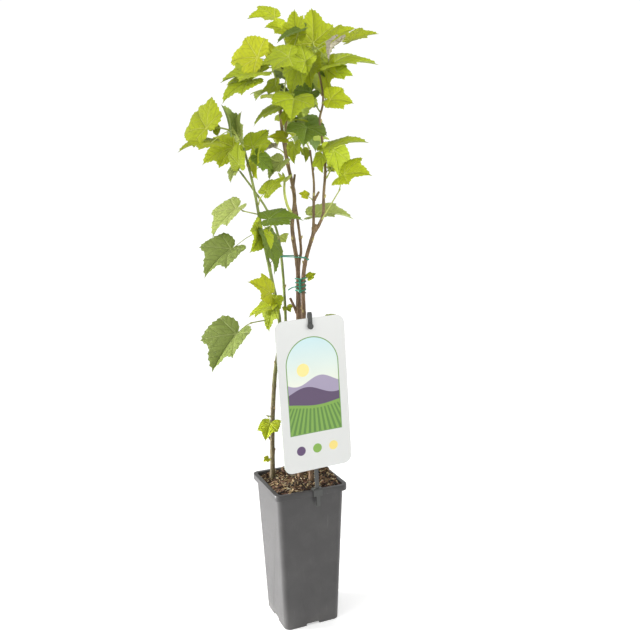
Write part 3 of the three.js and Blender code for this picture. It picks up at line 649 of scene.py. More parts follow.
class Bundle:
    """Gathers many small shapes for one mesh."""

    def __init__(self):
        self.vertices, self.faces, self.count = [], [], 0

    def add(self, vertices, faces):
        self.vertices.append(to_scene(vertices))
        self.faces += [[corner + self.count for corner in face] for face in faces]
        self.count += len(vertices)

    def build(self, name):
        return mesh_from(name, self.vertices, self.faces)


def bark_radii(points, radii, ridges, seed):
    """Radii at each corner, with bark ridges that wander and a swelling at each bud."""
    own = np.random.default_rng(seed)
    around = np.arange(BARK_SIDES) * math.tau / BARK_SIDES
    run = run_along(points)[:, None]
    relief = np.zeros((len(points), BARK_SIDES))
    for _ in range(RIDGE_WAVES):
        count, phase = own.integers(*RIDGE_COUNTS), own.uniform(0, math.tau)
        twist = own.uniform(*RIDGE_TWISTS)
        wander = np.sin(run * twist * RIDGE_WANDER_RATE) * RIDGE_WANDER + run * twist
        relief += np.sin(count * around + phase + wander)
    from_bud = (run + BUD_SHIFT) % BUD_STEP - BUD_STEP / 2
    swell = BUD_SWELL * np.exp(-(from_bud / BUD_SWELL_REACH) ** 2)
    return radii[:, None] * (1 + ridges * relief / RIDGE_WHOLE + swell)


stems, shoots, buds = Bundle(), Bundle(), Bundle()


def add_wood(name, points, radii, ridges, seed):
    """Adds a length of wood, with its bark, to the shoots or to the old stems."""
    bundle = shoots if name.startswith("shoot") else stems
    bundle.add(*tube(points, bark_radii(points, radii, ridges, seed), BARK_SIDES))


def add_bud(bundle, foot, along, out, length, radius):
    """A scaled bud from its foot, leaning out a little from the way the limb runs."""
    axis = unit(along + BUD_LEAN * out)
    points = np.array([foot + axis * length * share for share, _ in BUD_RINGS])
    bundle.add(*tube(points, [radius * wide for _, wide in BUD_RINGS], BUD_SIDES))


for seed, (name, sizes) in enumerate(LIMBS.items()):
    _, points, radii = grown_limb(*sizes, BARK_STEP)
    run = run_along(points)
    for count, place in enumerate(np.arange(BUD_STEP * 1.5 - BUD_SHIFT, run[-1] - BUD_END, BUD_STEP)):
        k = int(np.searchsorted(run, place))
        ahead = unit(points[k] - points[k - 1])
        angle = math.radians(LEAF_SPIRAL * count + LIMB_SPIRAL * seed)
        side = unit(np.cross(ahead, [math.cos(angle), math.sin(angle), BUD_TIP]))
        add_bud(buds, points[k] + side * radii[k] * BUD_SEAT, ahead, side, *LIMB_BUD)
    if name.startswith("bough"):
        points = np.vstack([points[0] - unit(points[1] - points[0]) * FORK_SUNK, points])
        radii = np.concatenate([radii[:1], radii])
    add_wood(name, points, radii, YOUNG_RIDGES if name.startswith("shoot") else OLD_RIDGES, seed)

# The old wood swells where the right stem forks, in one knuckle that holds the feet of both boughs.
# Each of its rings has its rise from the fork and its radius.
KNUCKLE = np.array([(-9, 2.6), (-6, 3.0), (-3, 3.7), (0, 4.3), (2.5, 4.2), (4.5, 3.2), (6, 1.8)])
KNUCKLE_RIDGES = 0.04
KNUCKLE_SEED = 60
limb_stations = {name: grown_limb(*sizes, LIMB_STEP) for name, sizes in LIMBS.items()}


def limb_between(name, after, part):
    """The point, direction and radius at a part of the way to a limb's station."""
    _, points, radii = limb_stations[name]
    start, end = points[after - 1], points[after]
    radius = radii[after - 1] + (radii[after] - radii[after - 1]) * part
    return start + (end - start) * part, unit(end - start), radius


def limb_at_height(name, height):
    rises = limb_stations[name][1][:, 2]
    after = int(np.argmax(rises >= height))
    return limb_between(name, after, (height - rises[after - 1]) / (rises[after] - rises[after - 1]))


fork, way, _ = limb_between("stem_right", len(limb_stations["stem_right"][0]) - 1, 1)
points = np.array([fork + way * rise for rise in KNUCKLE[:, 0]])
add_wood("stem_right", points, KNUCKLE[:, 1], KNUCKLE_RIDGES, KNUCKLE_SEED)

# Side shoots that were pruned back, each cut square: the limb, the height of its foot, its turn, its
# rise, its length and its radius.
STUBS = (("stem_middle", 449, 186, 66, 23, 1.9), ("stem_back", 622, 10, 80, 18, 1.7),
         ("bough_inner", 604, 350, 60, 13, 1.6), ("shoot_left", 262, 160, 55, 7, 1.4),
         ("stem_right", 352, 40, 60, 9, 1.7))
STUB_SHARES = np.array([0, 0.12, 0.3, 0.55, 0.8, 0.97, 1])
STUB_TAPER = np.array([1.5, 1.2, 1.0, 0.95, 0.93, 0.92, 0.8])
STUB_SEAT = 0.5
STUB_RIDGES = 0.05
STUB_SEED = 40
for seed, (name, height, turn, rise, length, radius) in enumerate(STUBS, STUB_SEED):
    middle, _, thick = limb_at_height(name, height)
    foot = middle + heading(turn, 0) * thick * STUB_SEAT
    points = foot + np.outer(STUB_SHARES * length, heading(turn, rise))
    add_wood(name, points, radius * STUB_TAPER, STUB_RIDGES, seed)

# Bark: fine strands drawn out along the limb, paler on their ridges, on a patchy ground that changes
# from the brown of the old wood to the green of the young.
bark, given, place = new_effect("limb_bark", ("Low", "High", "Ridge"), ("Low Height", "High Height"))
strands = noise(bark, mapped(bark, place, Scale=(1, 1, 0.14)), 900.0, 4.0, 0.65)
patches = noise(bark, place, 60.0, 3.0)
uneven = calc(bark, "MULTIPLY_ADD", patches, 0.16, height_in(bark, place))
risen = ranged(bark, uneven, given["Low Height"], given["High Height"])
ground = blend_colours(bark, risen, given["Low"], given["High"])
ridged = blend_colours(bark, ranged(bark, strands, 0.5, 0.72), ground, given["Ridge"])
end_effect(bark, toned(bark, ridged, ranged(bark, patches, 0.3, 0.7, 0.7, 1.25)),
           ranged(bark, strands, 0, 1, 0.6, 0.95), strands)


def bark_material(name, depth, low, high, ridge, low_height, high_height):
    values = {"Low": low, "High": high, "Ridge": ridge, "Low Height": low_height, "High Height": high_height}
    return effect_material(name, bark, depth, values)


stem_bark = bark_material("stem_bark", 0.0007, (0.135, 0.076, 0.04), (0.19, 0.135, 0.052),
                          (0.34, 0.235, 0.14), 0.56, 0.76)
shoot_bark = bark_material("shoot_bark", 0.0003, (0.10, 0.072, 0.034), (0.20, 0.255, 0.055),
                           (0.26, 0.235, 0.12), 0.42, 0.54)
bud_scales = bark_material("bud_scales", 0.0003, (0.21, 0.12, 0.06), (0.42, 0.36, 0.12),
                           (0.5, 0.42, 0.2), 0.35, 0.65)
finish_piece(stems.build("woody_stems"), stem_bark, "bark", 50,
             *(name for name in LIMBS if not name.startswith("shoot")))
finish_piece(shoots.build("green_shoots"), shoot_bark, "green_shoot", 50,
             *(name for name in LIMBS if name.startswith("shoot")))
finish_piece(buds.build("buds"), bud_scales, "bark", 50)

# The foliage, grown by the source's rule. Each mass has the limb that carries it, its place as a share of
# that limb, its stem (turn, rise, length) and its leaves from the foot of the stem to the tip: petiole
# turn, rise and length, blade length, where the blade points, its droop and roll, and its kind.
# Leaves of the darkest kind carry painted shade: a darker copy of the green for leaves that lie in shade.
MASSES = (
    ("foliage_left_high", "shoot_left", 1, (205, 60, 26), (
        (75, 2, 10, 34, 300, -74, 86, "pale"), (156, 34, 14, 34, 212, -72, -46, "dusky"),
        (154, 12, 36, 20, 79, -59, 61, "olive"), (184, 7, 36, 56, 114, -33, -55, "bright"),
        (189, -32, 33, 48, 200, 10, -18, "bright"))),
    ("foliage_left_mid", "shoot_slim", 1, (200, 40, 8), (
        (100, 40, 47, 52, 175, 24, -47, "bright"), (344, 27, 7, 31, 32, -81, 10, "olive"),
        (67, -11, 6, 22, 196, 61, -22, "pale"))),
    ("foliage_left_inner", "shoot_left", 0.9, (60, 75, 36), (
        (297, 54, 13, 36, 275, 72, 66, "bright"), (14, -7, 36, 31, 194, 50, -33, "pale"),
        (291, -20, 10, 31, 19, 46, 50, "dark"), (155, 39, 8, 36, 30, -43, 38, "olive"))),
    ("leaf_left_small", "shoot_left", 0.81, (300, 60, 8), (
        (345, 49, 15, 33, 16, -38, 21, "olive"),)),
    ("foliage_mid_left", "shoot_left", 0.7, (330, 62, 28), (
        (188, -26, 58, 53, 203, 40, -30, "dusky"), (224, -21, 17, 38, 240, 45, -78, "olive"),
        (258, 24, 15, 47, 11, 2, 22, "dark"), (168, -60, 24, 52, 340, 74, -2, "dark"))),
    ("leaf_mid_pale", "shoot_slim", 0.62, (206, 13, 36), (
        (189, 17, 11, 51, 191, 46, -22, "pale"),)),
    ("leaf_mid_small", "shoot_slim", 0.5, (85, -10, 6), (
        (85, -12, 3, 26, 118, 47, 0, "olive"),)),
    ("foliage_base_left", "shoot_left", 0.51, (250, 40, 8), (
        (280, -26, 10, 41, 223, 75, 11, "olive"), (266, -39, 12, 40, 160, 29, -24, "bright"),
        (248, 43, 13, 38, 221, -35, -60, "yellow"))),
    ("leaf_base_big", "shoot_left", 0.46, (216, -3, 40), (
        (208, -30, 26, 61, 208, 54, -22, "dusky"),)),
    ("leaf_base_small", "shoot_left", 0.17, (236, 20, 8), (
        (317, -54, 10, 28, 250, 50, 0, "bright"),)),
    ("foliage_top_right", "bough_outer", 1, (185, 80, 18), (
        (105, 58, 17, 50, 94, -76, 12, "bright"), (0, -43, 27, 64, 359, 9, 24, "olive"),
        (30, 17, 59, 41, 1, -11, 26, "bright"), (327, 20, 33, 32, 5, -21, 35, "bright"),
        (5, -60, 28, 42, 300, 84, 92, "bright"), (196, -76, 19, 38, 268, 75, 42, "bright"),
        (31, -65, 29, 28, 329, 34, 42, "dark"), (10, -48, 45, 24, 0, 12, 53, "olive"))),
    ("foliage_top_left", "stem_middle", 1, (203, 73, 53), (
        (300, -77, 13, 23, 159, 20, -57, "olive"), (221, -27, 42, 47, 193, 41, -29, "olive"),
        (233, -19, 27, 54, 181, 14, -31, "olive"), (209, 17, 20, 50, 145, -2, -63, "yellow"),
        (303, -6, 49, 40, 169, 11, -49, "olive"), (36, -38, 7, 27, 166, -69, -28, "yellow"))),
    ("foliage_top", "stem_middle", 0.95, (40, 78, 66), (
        (308, 23, 38, 42, 149, 64, -77, "olive"), (333, 66, 58, 36, 171, 27, -29, "dark"),
        (304, 12, 46, 36, 169, -34, -53, "olive"), (340, 65, 38, 36, 121, -79, -76, "bright"),
        (217, 82, 40, 27, 192, -8, -50, "bright"), (130, 63, 67, 40, 196, 6, -38, "bright"))),
    ("leaf_fan", "bough_outer", 0.84, (290, 10, 8), (
        (314, 1, 11, 33, 10, 9, 58, "bright"),)),
    ("leaf_dark", "bough_outer", 0.8, (135, 50, 22), (
        (101, 60, 13, 35, 172, 31, -55, "dark"),)),
    ("foliage_centre", "stem_middle", 0.89, (320, 55, 22), (
        (325, -67, 9, 20, 194, 67, -32, "bright"), (236, -15, 21, 43, 173, 31, -26, "olive"),
        (291, -7, 18, 48, 265, 49, -8, "olive"))),
    ("leaf_centre_small", "stem_middle", 0.8, (250, 10, 6), (
        (301, 0, 9, 21, 187, -1, -46, "yellow"),)),
    ("foliage_centre_low", "bough_inner", 1, (215, 60, 20), (
        (111, -44, 16, 18, 310, 72, -9, "olive"), (142, -19, 20, 26, 275, 78, 50, "olive"),
        (318, 52, 12, 46, 262, 35, -11, "dark"))),
    ("foliage_right", "bough_outer", 0.45, (340, 60, 18), (
        (142, 52, 24, 26, 275, 78, 55, "olive"), (301, 78, 25, 42, 354, 81, 40, "olive"),
        (227, 69, 24, 56, 355, -14, 14, "olive"))),
    ("leaf_star", "bough_outer", 0.2, (307, 44, 52), (
        (320, 67, 22, 42, 322, 0, 46, "bright"),)),
    ("leaf_pale_right", "bough_inner", 0.22, (110, -30, 12), (
        (24, -33, 8, 55, 357, 1, 18, "pale"),)),
)
# The masses at the back have their leaves dealt out: how many, from which turn to which, and the seed.
RULED_MASSES = (
    ("foliage_back_high", "stem_back", 1, (60, 70, 56), (8, 30, 150, 42)),
    ("foliage_back_right", "stem_back", 0.8, (60, 20, 30), (5, 50, 130, 20)),
    ("foliage_back_left", "stem_back", 0.92, (90, 50, 30), (5, 50, 140, 21)),
)
# The kinds dealt out in turn; the darkest of them is painted shade for leaves at the back of the crown.
RULED_KINDS = ("olive", "bright", "dark", "olive", "dusky")
# A dealt-out leaf's least, and its further reach: rise, petiole and blade, and then its droop.
RULED_SIZES = ((10, 40), (16, 22), (40, 16))
RULED_DROOPS = (10, 45)
RULED_SWAY = 20
RULED_TWIST = 40
GOLDEN_SHARE = 0.618
DRAW_FACTOR = 48271
DRAW_RANGE = 2147483647
TWIG_RADIUS = 1.1
TWIG_TIP_RADIUS = 0.8
BARE_SHARE = 0.4
PETIOLE_RADIUS = 0.75
PETIOLE_END_RADIUS = 0.45
PETIOLE_SAG = 0.08
PETIOLE_SUNK = 0.06
BLADE_FOLD = 0.3
BLADE_ARCH = 0.22
BLADE_DROP = 1.6
BLADE_ROOM = 1.7
TWIG_ROOM = 1.4
LIMB_ROOM = 1.2
ROOM_MARGIN = 8
BLADE_STEP = 4.2
STALK_STEP = 2
SHIFT = 4
SHIFT_STEPS = 8
RAISE = 6
CORNER_ANGLES = np.array([0, 27, 48, 120, 160])
CORNER_SHARES = np.array([1, 0.66, 0.76, 0.5, 0.24])
TIE_RADIUS = 0.7
TIE_STEPS = 18
LOOPED_STEMS = ("shoot_slim", "stem_middle", "stem_right", "stem_back")
TIE_LOOP_HEIGHT = 527
WOUND_STEMS = ("stem_middle", "stem_right")
TIE_TURN_HEIGHTS = (478, 485, 492, 499)


def seeded(seed):
    """The same numbers on each run, from a seed."""
    state = seed * DRAW_FACTOR % DRAW_RANGE
    while True:
        state = state * DRAW_FACTOR % DRAW_RANGE
        yield state / DRAW_RANGE


def new_leaf(node, joint, blade, aim, droop, roll, kind):
    return dict(node=node, joint=joint, blade=blade, aim=aim, droop=droop, roll=roll, kind=kind)


def blade_points(leaf, across, ahead, lift=0):
    """Places on a blade, from the shares of its length across and ahead of its joint."""
    aim, roll = math.radians(leaf["aim"]), math.radians(leaf["roll"])
    along = heading(leaf["aim"], -leaf["droop"])
    level = np.array([-math.sin(aim), math.cos(aim), 0])
    side = level * math.cos(roll) + np.cross(along, level) * math.sin(roll)
    arch = ahead * (1 - ahead) - BLADE_DROP * across ** 2
    height = BLADE_FOLD * np.abs(across) + BLADE_ARCH * arch + lift
    frame = np.array([side, along, np.cross(along, side)])
    return leaf["joint"] + leaf["blade"] * np.stack([across, ahead, height], -1) @ frame


def petiole_points(leaf):
    reach = leaf["joint"] - leaf["node"]
    middle = leaf["node"] + reach / 2 + np.array([0, 0, PETIOLE_SAG * np.linalg.norm(reach)])
    tip = blade_points(leaf, np.array(0.0), np.array(1.0))
    return np.array([leaf["node"], middle, leaf["joint"] + (tip - leaf["joint"]) * PETIOLE_SUNK])


def ruled_leaves(count, start, end, seed):
    """Rows of leaves dealt out between two turns."""
    draw = seeded(seed)
    rows = []
    for k in range(count):
        turn = start + (end - start) * (k * GOLDEN_SHARE % 1) + RULED_SWAY * (next(draw) - 0.5)
        sizes = [least + more * next(draw) for least, more in RULED_SIZES]
        aim = turn + RULED_TWIST * (next(draw) - 0.5)
        droop = RULED_DROOPS[0] + RULED_DROOPS[1] * next(draw)
        roll = RULED_TWIST * (next(draw) - 0.5)
        rows.append((turn, *sizes, aim, droop, roll, RULED_KINDS[k % len(RULED_KINDS)]))
    return rows


class Room:
    """The room already taken: spheres along each limb, twig and petiole, and over each blade."""

    def __init__(self):
        self.centres, self.rooms, self.owners = np.zeros((0, 3)), np.zeros(0), np.zeros(0, int)

    def add(self, centres, rooms, owner):
        self.centres = np.vstack([self.centres, centres])
        self.rooms = np.concatenate([self.rooms, rooms])
        self.owners = np.concatenate([self.owners, np.full(len(centres), owner)])

    def near(self, node, reach):
        close = np.linalg.norm(self.centres - node, axis=1) < reach + self.rooms + BLADE_ROOM
        return self.centres[close], self.rooms[close], self.owners[close]


def spheres_along(points, rooms):
    centres, sizes = [], []
    for start, end, room in zip(points, points[1:], rooms):
        steps = math.ceil(np.linalg.norm(end - start) / STALK_STEP)
        centres += [start + (end - start) * step / steps for step in range(steps)]
        sizes += [room] * steps
    return np.array(centres), np.array(sizes, float)


def spheres_over(leaf):
    """Places over a blade: the corners of its rim, and the cells of a grid inside it."""
    rim = np.radians(np.concatenate([CORNER_ANGLES, -CORNER_ANGLES[:0:-1]]))
    shares = np.concatenate([CORNER_SHARES, CORNER_SHARES[:0:-1]])
    most = math.floor(leaf["blade"] / BLADE_STEP)
    cells = np.arange(-most, most + 1)
    grid = np.meshgrid(cells, cells, indexing="ij")
    across, ahead = (side.ravel() * BLADE_STEP / leaf["blade"] for side in grid)
    off = np.degrees(np.abs(np.arctan2(across, ahead)))
    inside = np.hypot(across, ahead) <= np.interp(off, CORNER_ANGLES, CORNER_SHARES)
    return blade_points(leaf, np.concatenate([np.sin(rim) * shares, across[inside]]),
                        np.concatenate([np.cos(rim) * shares, ahead[inside]]))


def clashes(centres, rooms, others, other_rooms):
    if len(others) == 0:
        return False
    low, high = centres.min(axis=0) - ROOM_MARGIN, centres.max(axis=0) + ROOM_MARGIN
    close = ((others > low) & (others < high)).all(axis=1)
    apart = ((centres[:, None, :] - others[close][None, :, :]) ** 2).sum(axis=2)
    return bool((apart < (rooms[:, None] + other_rooms[close][None, :]) ** 2).any())


def settled(row, node, owner, room):
    """A leaf in its first free place, or none, as in the source."""
    turn, rise, petiole, blade, aim, droop, roll, kind = row
    centres, rooms, owners = room.near(node, petiole + blade + SHIFT * SHIFT_STEPS)
    tries = product((owners >= -1, owners != owner), range(SHIFT_STEPS + 1), (-1, 1), (0, RAISE, -RAISE))
    for counted, step, forwards, lift in tries:
        joint = node + heading(turn, rise + lift) * petiole
        joint[1] += forwards * step * SHIFT
        leaf = new_leaf(node, joint, blade, aim, droop - lift, roll, kind)
        stalk, stalk_rooms = spheres_along(petiole_points(leaf), (TWIG_ROOM, TWIG_ROOM))
        over = spheres_over(leaf)
        own = np.vstack([over, stalk[1:]])
        own_rooms = np.concatenate([np.full(len(over), BLADE_ROOM), stalk_rooms[1:]])
        if not clashes(own, own_rooms, centres[counted], rooms[counted]):
            room.add(own, own_rooms, owner)
            return leaf
    return None


def stem_start(limb_name, share, away):
    """The start of a mass's stem: just beyond the tip of its limb, or just beside the limb."""
    shares = limb_stations[limb_name][0]
    after = max(int(np.argmax(shares >= share)), 1)
    part = (share - shares[after - 1]) / (shares[after] - shares[after - 1])
    point, tangent, radius = limb_between(limb_name, after, part)
    cosine = float(away.dot(tangent))
    if share == 1:
        return point + away * (GAP + (TWIG_RADIUS + radius) * math.sqrt(1 - cosine * cosine))
    return point + unit(away - tangent * cosine) * (radius + GAP + TWIG_RADIUS * abs(cosine))


def cord_place(names, turn, height, radius):
    """The middle of a cord drawn tight round the limbs, at a turn and a height."""
    out = heading(turn, 0)
    held = [limb_at_height(name, height) for name in names]
    point, _, thick = max(held, key=lambda one: float(one[0].dot(out)) + one[2])
    return np.array([point[0], point[1], height]) + out * (thick + GAP + radius)


def cord_round(names, height):
    return np.array([cord_place(names, 360 * k / TIE_STEPS, height, TIE_RADIUS) for k in range(TIE_STEPS)])


ties = {"tie_loop": cord_round(LOOPED_STEMS, TIE_LOOP_HEIGHT)}
for k, height in enumerate(TIE_TURN_HEIGHTS, 1):
    ties[f"tie_turn_{k}"] = cord_round(WOUND_STEMS, height)
room = Room()
for _, points, radii in limb_stations.values():
    room.add(*spheres_along(points, radii[1:] + LIMB_ROOM), -1)
for cord in ties.values():
    room.add(*spheres_along(np.vstack([cord, cord[:1]]), [TIE_RADIUS + GAP] * len(cord)), -1)
masses = []
for owner, (name, limb_name, share, (turn, rise, length), rows) in enumerate(MASSES + RULED_MASSES):
    start = stem_start(limb_name, share, heading(turn, rise))
    end = start + heading(turn, rise) * length
    centres, rooms = spheres_along(np.array([start, end]), (TWIG_ROOM,))
    room.add(centres[1:], rooms[1:], owner)
    masses.append((name, start, end, rows if isinstance(rows[0], tuple) else ruled_leaves(*rows)))
leaves = []
for owner, (_, start, end, rows) in enumerate(masses):
    for k, row in enumerate(rows, 1):
        node = start + (end - start) * (BARE_SHARE + (1 - BARE_SHARE) * k / len(rows))
        leaves.append(settled(row, node, owner, room))
leaves = [leaf for leaf in leaves if leaf is not None]

# Leaves too small for the solids, each from a bud: the limb, the height on it, and then a leaf's own row.
# Two of them have dried up.
SMALL_LEAVES = (
    ("bough_inner", 604, 172, 35, 10, 12, 178, -20, -50, "yellow"),
    ("stem_right", 497, 350, 25, 6, 12, 8, -25, 45, "bright"),
    ("stem_right", 424, 15, 18, 34, 22, 14, 15, 50, "pale"),
    ("stem_middle", 668, 185, 30, 14, 15, 182, 5, -25, "dried"),
    ("bough_outer", 784, 318, 27, 45, 27, 192, 36, -14, "dried"),
    ("shoot_left", 520, 40, 40, 7, 11, 40, 20, 30, "bright"),
    ("shoot_slim", 452, 300, 45, 6, 13, 300, 30, 20, "bright"),
    ("bough_outer", 640, 20, 45, 7, 12, 20, 10, 40, "yellow"),
    ("stem_back", 690, 60, 40, 8, 14, 60, 15, 10, "bright"),
    ("shoot_left", 232, 200, 40, 5, 9, 210, 25, -40, "yellow"),
)
SMALL_LEAF_SEAT = 0.8
for name, height, turn, rise, petiole, *blade in SMALL_LEAVES:
    middle, _, thick = limb_at_height(name, height)
    node = middle + heading(turn, 0) * thick * SMALL_LEAF_SEAT
    leaves.append(new_leaf(node, node + heading(turn, rise) * petiole, *blade))

# The twigs and leaf stalks: smooth, pale green and slim, with a small swelling where each leaves its twig.
# Each twig ends in a bud, and those with many leaves carry bare spurs with buds of their own.
TWIG_SIDES = 8
STALK_SIDES = 6
TWIG_SHARES = np.linspace(-0.02, 1, 9)
TWIG_BUD = (4.5, 1.0)
TWIG_BUD_SUNK = 0.5
FEW_LEAVES = 2
SPUR_SHARES = (0.3, 0.55, 0.8)
SPUR_RUN = np.array([0.5, 1.5, 3.5, 6, 8])
SPUR_RADII = (0.8, 0.62, 0.55, 0.5, 0.46)
SPUR_RISE = 20
SPUR_LEAN = 0.6
SPUR_BUD = (3.6, 0.75)
STALK_SHARES = np.array([0, 0.06, 0.14, 0.3, 0.45, 0.6, 0.75, 0.9, 1])
STALK_SWELL = (1.5, 1.35)
stalks = Bundle()
for name, start, end, rows in masses:
    points = start + np.outer(TWIG_SHARES, end - start)
    stalks.add(*tube(points, np.linspace(TWIG_RADIUS, TWIG_TIP_RADIUS, len(points)), TWIG_SIDES))
    ahead = unit(end - start)
    add_bud(stalks, end - ahead * TWIG_BUD_SUNK, ahead, ahead, *TWIG_BUD)
    if len(rows) > FEW_LEAVES:
        for count, share in enumerate(SPUR_SHARES):
            out = unit(np.cross(ahead, heading(LEAF_SPIRAL * (count + len(name)), SPUR_RISE)))
            away = unit(out + SPUR_LEAN * ahead)
            points = start + (end - start) * share + np.outer(SPUR_RUN, away)
            stalks.add(*tube(points, SPUR_RADII, STALK_SIDES))
            add_bud(stalks, points[-1], away, out, *SPUR_BUD)
for leaf in leaves:
    radii = PETIOLE_RADIUS + (PETIOLE_END_RADIUS - PETIOLE_RADIUS) * STALK_SHARES
    radii[:2] *= STALK_SWELL
    stalks.add(*tube(curve_points(petiole_points(leaf), STALK_SHARES), radii, STALK_SIDES))

# A young shoot breaks from the middle stem, pale and soft, and ends in three unopened leaves, each with
# its turn and its rise.
YOUNG_SHOOT = ((-1, -2, 588), (-6, -6, 599), (-9, -8, 616), (-8, -8, 634))
YOUNG_STEPS = 16
YOUNG_RADII = (2.1, 1.5)
UNOPENED = ((200, 75), (20, 60), (110, 82))
UNOPENED_OUT = 0.8
UNOPENED_BUD = (14, 2.4)
points = curve_points(YOUNG_SHOOT, np.linspace(0, 1, YOUNG_STEPS))
stalks.add(*tube(points, np.linspace(*YOUNG_RADII, YOUNG_STEPS), TWIG_SIDES))
for turn, rise in UNOPENED:
    out = heading(turn, 0)
    add_bud(stalks, points[-2] + out * UNOPENED_OUT, heading(turn, rise), out, *UNOPENED_BUD)
stalk_skin = bark_material("stalk_skin", 0.0001, (0.30, 0.33, 0.08), (0.42, 0.50, 0.10), (0.50, 0.44, 0.17),
                           0.4, 0.8)
finish_piece(stalks.build("leaf_stalks"), stalk_skin, "green_shoot", 50)

# The leaf blades: three to five toothed lobes, quilted between the veins, each a thin closed blade in one
# plain colour of its kind. The lobes are angles from the tip and shares of the blade's length.
LOBES = ((0, 1.0), (3, 0.935), (7, 0.875), (12, 0.815), (17, 0.76), (22, 0.70), (27, 0.645), (33, 0.66),
         (38, 0.695), (43, 0.735), (48, 0.775), (54, 0.71), (62, 0.655), (72, 0.61), (82, 0.575),
         (92, 0.55), (100, 0.54), (108, 0.56), (115, 0.54), (125, 0.48), (140, 0.37), (155, 0.26),
         (168, 0.15), (176, 0.06))
RIM_SAMPLES = 600
RIM_NUDGE = 0.01
TEETH = 17
TOOTH_DEPTH = 0.036
TOOTH_FALL = (0, -0.35, -0.65, -0.9)
TOOTH_GROWTH = 2.2
RING_SHARES = (0.09, 0.2, 0.31, 0.42, 0.53, 0.64, 0.74, 0.83, 0.91, 0.96, 1.0)
BLADE_HALF_THICK = 0.16
RIPPLES = (0.015, 0.045)
CURLS = (-0.03, 0.10)
FOLDS = (-0.08, 0.14)
TWISTS = (-0.14, 0.14)
RIPPLES_ROUND = 5
DRIED_RIPPLE = 0.10
DRIED_CURL = 0.35
KIND_FOLDS = {"dusky": 0.26, "pale": 0.12, "dried": 0.5}
VEIN_ANGLES = np.radians([-104, -48, 0, 48, 104])
BRANCH_LEAN = 0.9
BRANCH_STEP = 0.15
BRANCH_RISE = 0.006
BRANCH_REACH = 0.1
QUILT_RISE = 0.036
QUILT_REACH = 0.05
SHADE_SEED = 500
CELL_MIDDLE = np.array([0, 0.32])
CELL_SHARE = 0.66


def toothed_rim():
    """The rim's places across and ahead, from the tip round to the tip."""
    angles = np.radians(np.linspace(0, LOBES[-1][0], RIM_SAMPLES))
    shares = np.interp(np.degrees(angles), *np.array(LOBES).T)
    line = np.stack([np.sin(angles) * shares, np.cos(angles) * shares], 1)
    run = run_along(line)
    steps = TEETH * len(TOOTH_FALL)
    half = []
    for k in range(steps + 1):
        at = run[-1] * k / steps
        place, nudged = (np.array([np.interp(run_at, run, side) for side in line.T])
                         for run_at in (at, at + RIM_NUDGE))
        ahead = nudged - place
        if 0 < k < steps:
            depth = TOOTH_DEPTH * TOOTH_FALL[k % len(TOOTH_FALL)]
            depth *= min(1, TOOTH_GROWTH * np.linalg.norm(place))
            place = place + unit(np.array([-ahead[1], ahead[0]])) * depth
        half.append(place)
    return np.vstack([half, np.array(half[-2:0:-1]) * [-1, 1]])


RIM = toothed_rim()
FLAT_GRID = np.concatenate([[[0, 0]]] + [RIM * share for share in RING_SHARES])


def nearest_vein(across, ahead):
    """The angle of the main vein that a place on the blade lies nearest to."""
    off = np.arctan2(across, ahead)
    return VEIN_ANGLES[np.argmin(np.abs(off[..., None] - VEIN_ANGLES), axis=-1)]


def blade_shape(leaf, seed):
    """Vertices of a closed blade: the upper face's centre and rings, then the lower face's."""
    own = np.random.default_rng(seed)
    phase = own.uniform(0, math.tau)
    ripple, curl, fold, twist = (own.uniform(*span) for span in (RIPPLES, CURLS, FOLDS, TWISTS))
    if leaf["kind"] == "dried":
        ripple, curl = DRIED_RIPPLE, DRIED_CURL
    fold += KIND_FOLDS.get(leaf["kind"], 0)
    across, ahead = FLAT_GRID.T
    reach, off = np.hypot(across, ahead), np.arctan2(across, ahead)
    vein = nearest_vein(across, ahead)
    along, aside = reach * np.cos(off - vein), reach * np.abs(np.sin(off - vein))
    branch = np.cos((along - BRANCH_LEAN * aside) * math.tau / BRANCH_STEP)
    branch *= np.minimum(aside / BRANCH_REACH, 1)
    lift = ripple * reach ** 2 * np.sin(RIPPLES_ROUND * off + phase) - curl * reach ** 3
    lift += fold * np.abs(across) + twist * across * ahead
    lift += QUILT_RISE * reach * (1 - np.exp(-(aside / QUILT_REACH) ** 2)) - BRANCH_RISE * branch
    half = BLADE_HALF_THICK / leaf["blade"]
    upper, lower = (blade_points(leaf, across, ahead, lift + side) for side in (half, -half))
    rim = len(RIM)
    upper[-rim:] = (upper[-rim:] + lower[-rim:]) / 2
    return np.vstack([upper, lower[:-rim]])


def blade_faces():
    """The corners of a blade's faces, first the upper ones."""
    rim, rings = len(RIM), len(RING_SHARES)

    def corner_at(ring, k):
        return 1 + ring * rim + k % rim

    upper = []
    for k in range(rim):
        upper.append([0, corner_at(0, k), corner_at(0, k + 1)])
        for ring in range(1, rings):
            upper.append([corner_at(ring - 1, k), corner_at(ring, k), corner_at(ring, k + 1),
                          corner_at(ring - 1, k + 1)])
    on_rim = corner_at(rings - 1, 0)
    return upper + [[corner if corner >= on_rim else corner + len(FLAT_GRID) for corner in reversed(face)]
                    for face in upper]


BLADE_FACES = blade_faces()
FLAT_PLACES = np.vstack([FLAT_GRID, FLAT_GRID[:-len(RIM)]])
FACE_OF_LOOP = np.repeat(np.arange(len(BLADE_FACES)), [len(face) for face in BLADE_FACES])
face_middles = np.array([FLAT_PLACES[face].mean(axis=0) for face in BLADE_FACES])
loop_places = FLAT_PLACES[np.concatenate(BLADE_FACES)]
loop_off = np.arctan2(*loop_places.T) - nearest_vein(*face_middles.T)[FACE_OF_LOOP]
VEIN_PLACES = np.hypot(*loop_places.T)[:, None] * np.stack([np.cos(loop_off), np.sin(loop_off)], 1)
UNDERSIDE = np.arange(len(BLADE_FACES)) >= len(BLADE_FACES) / 2


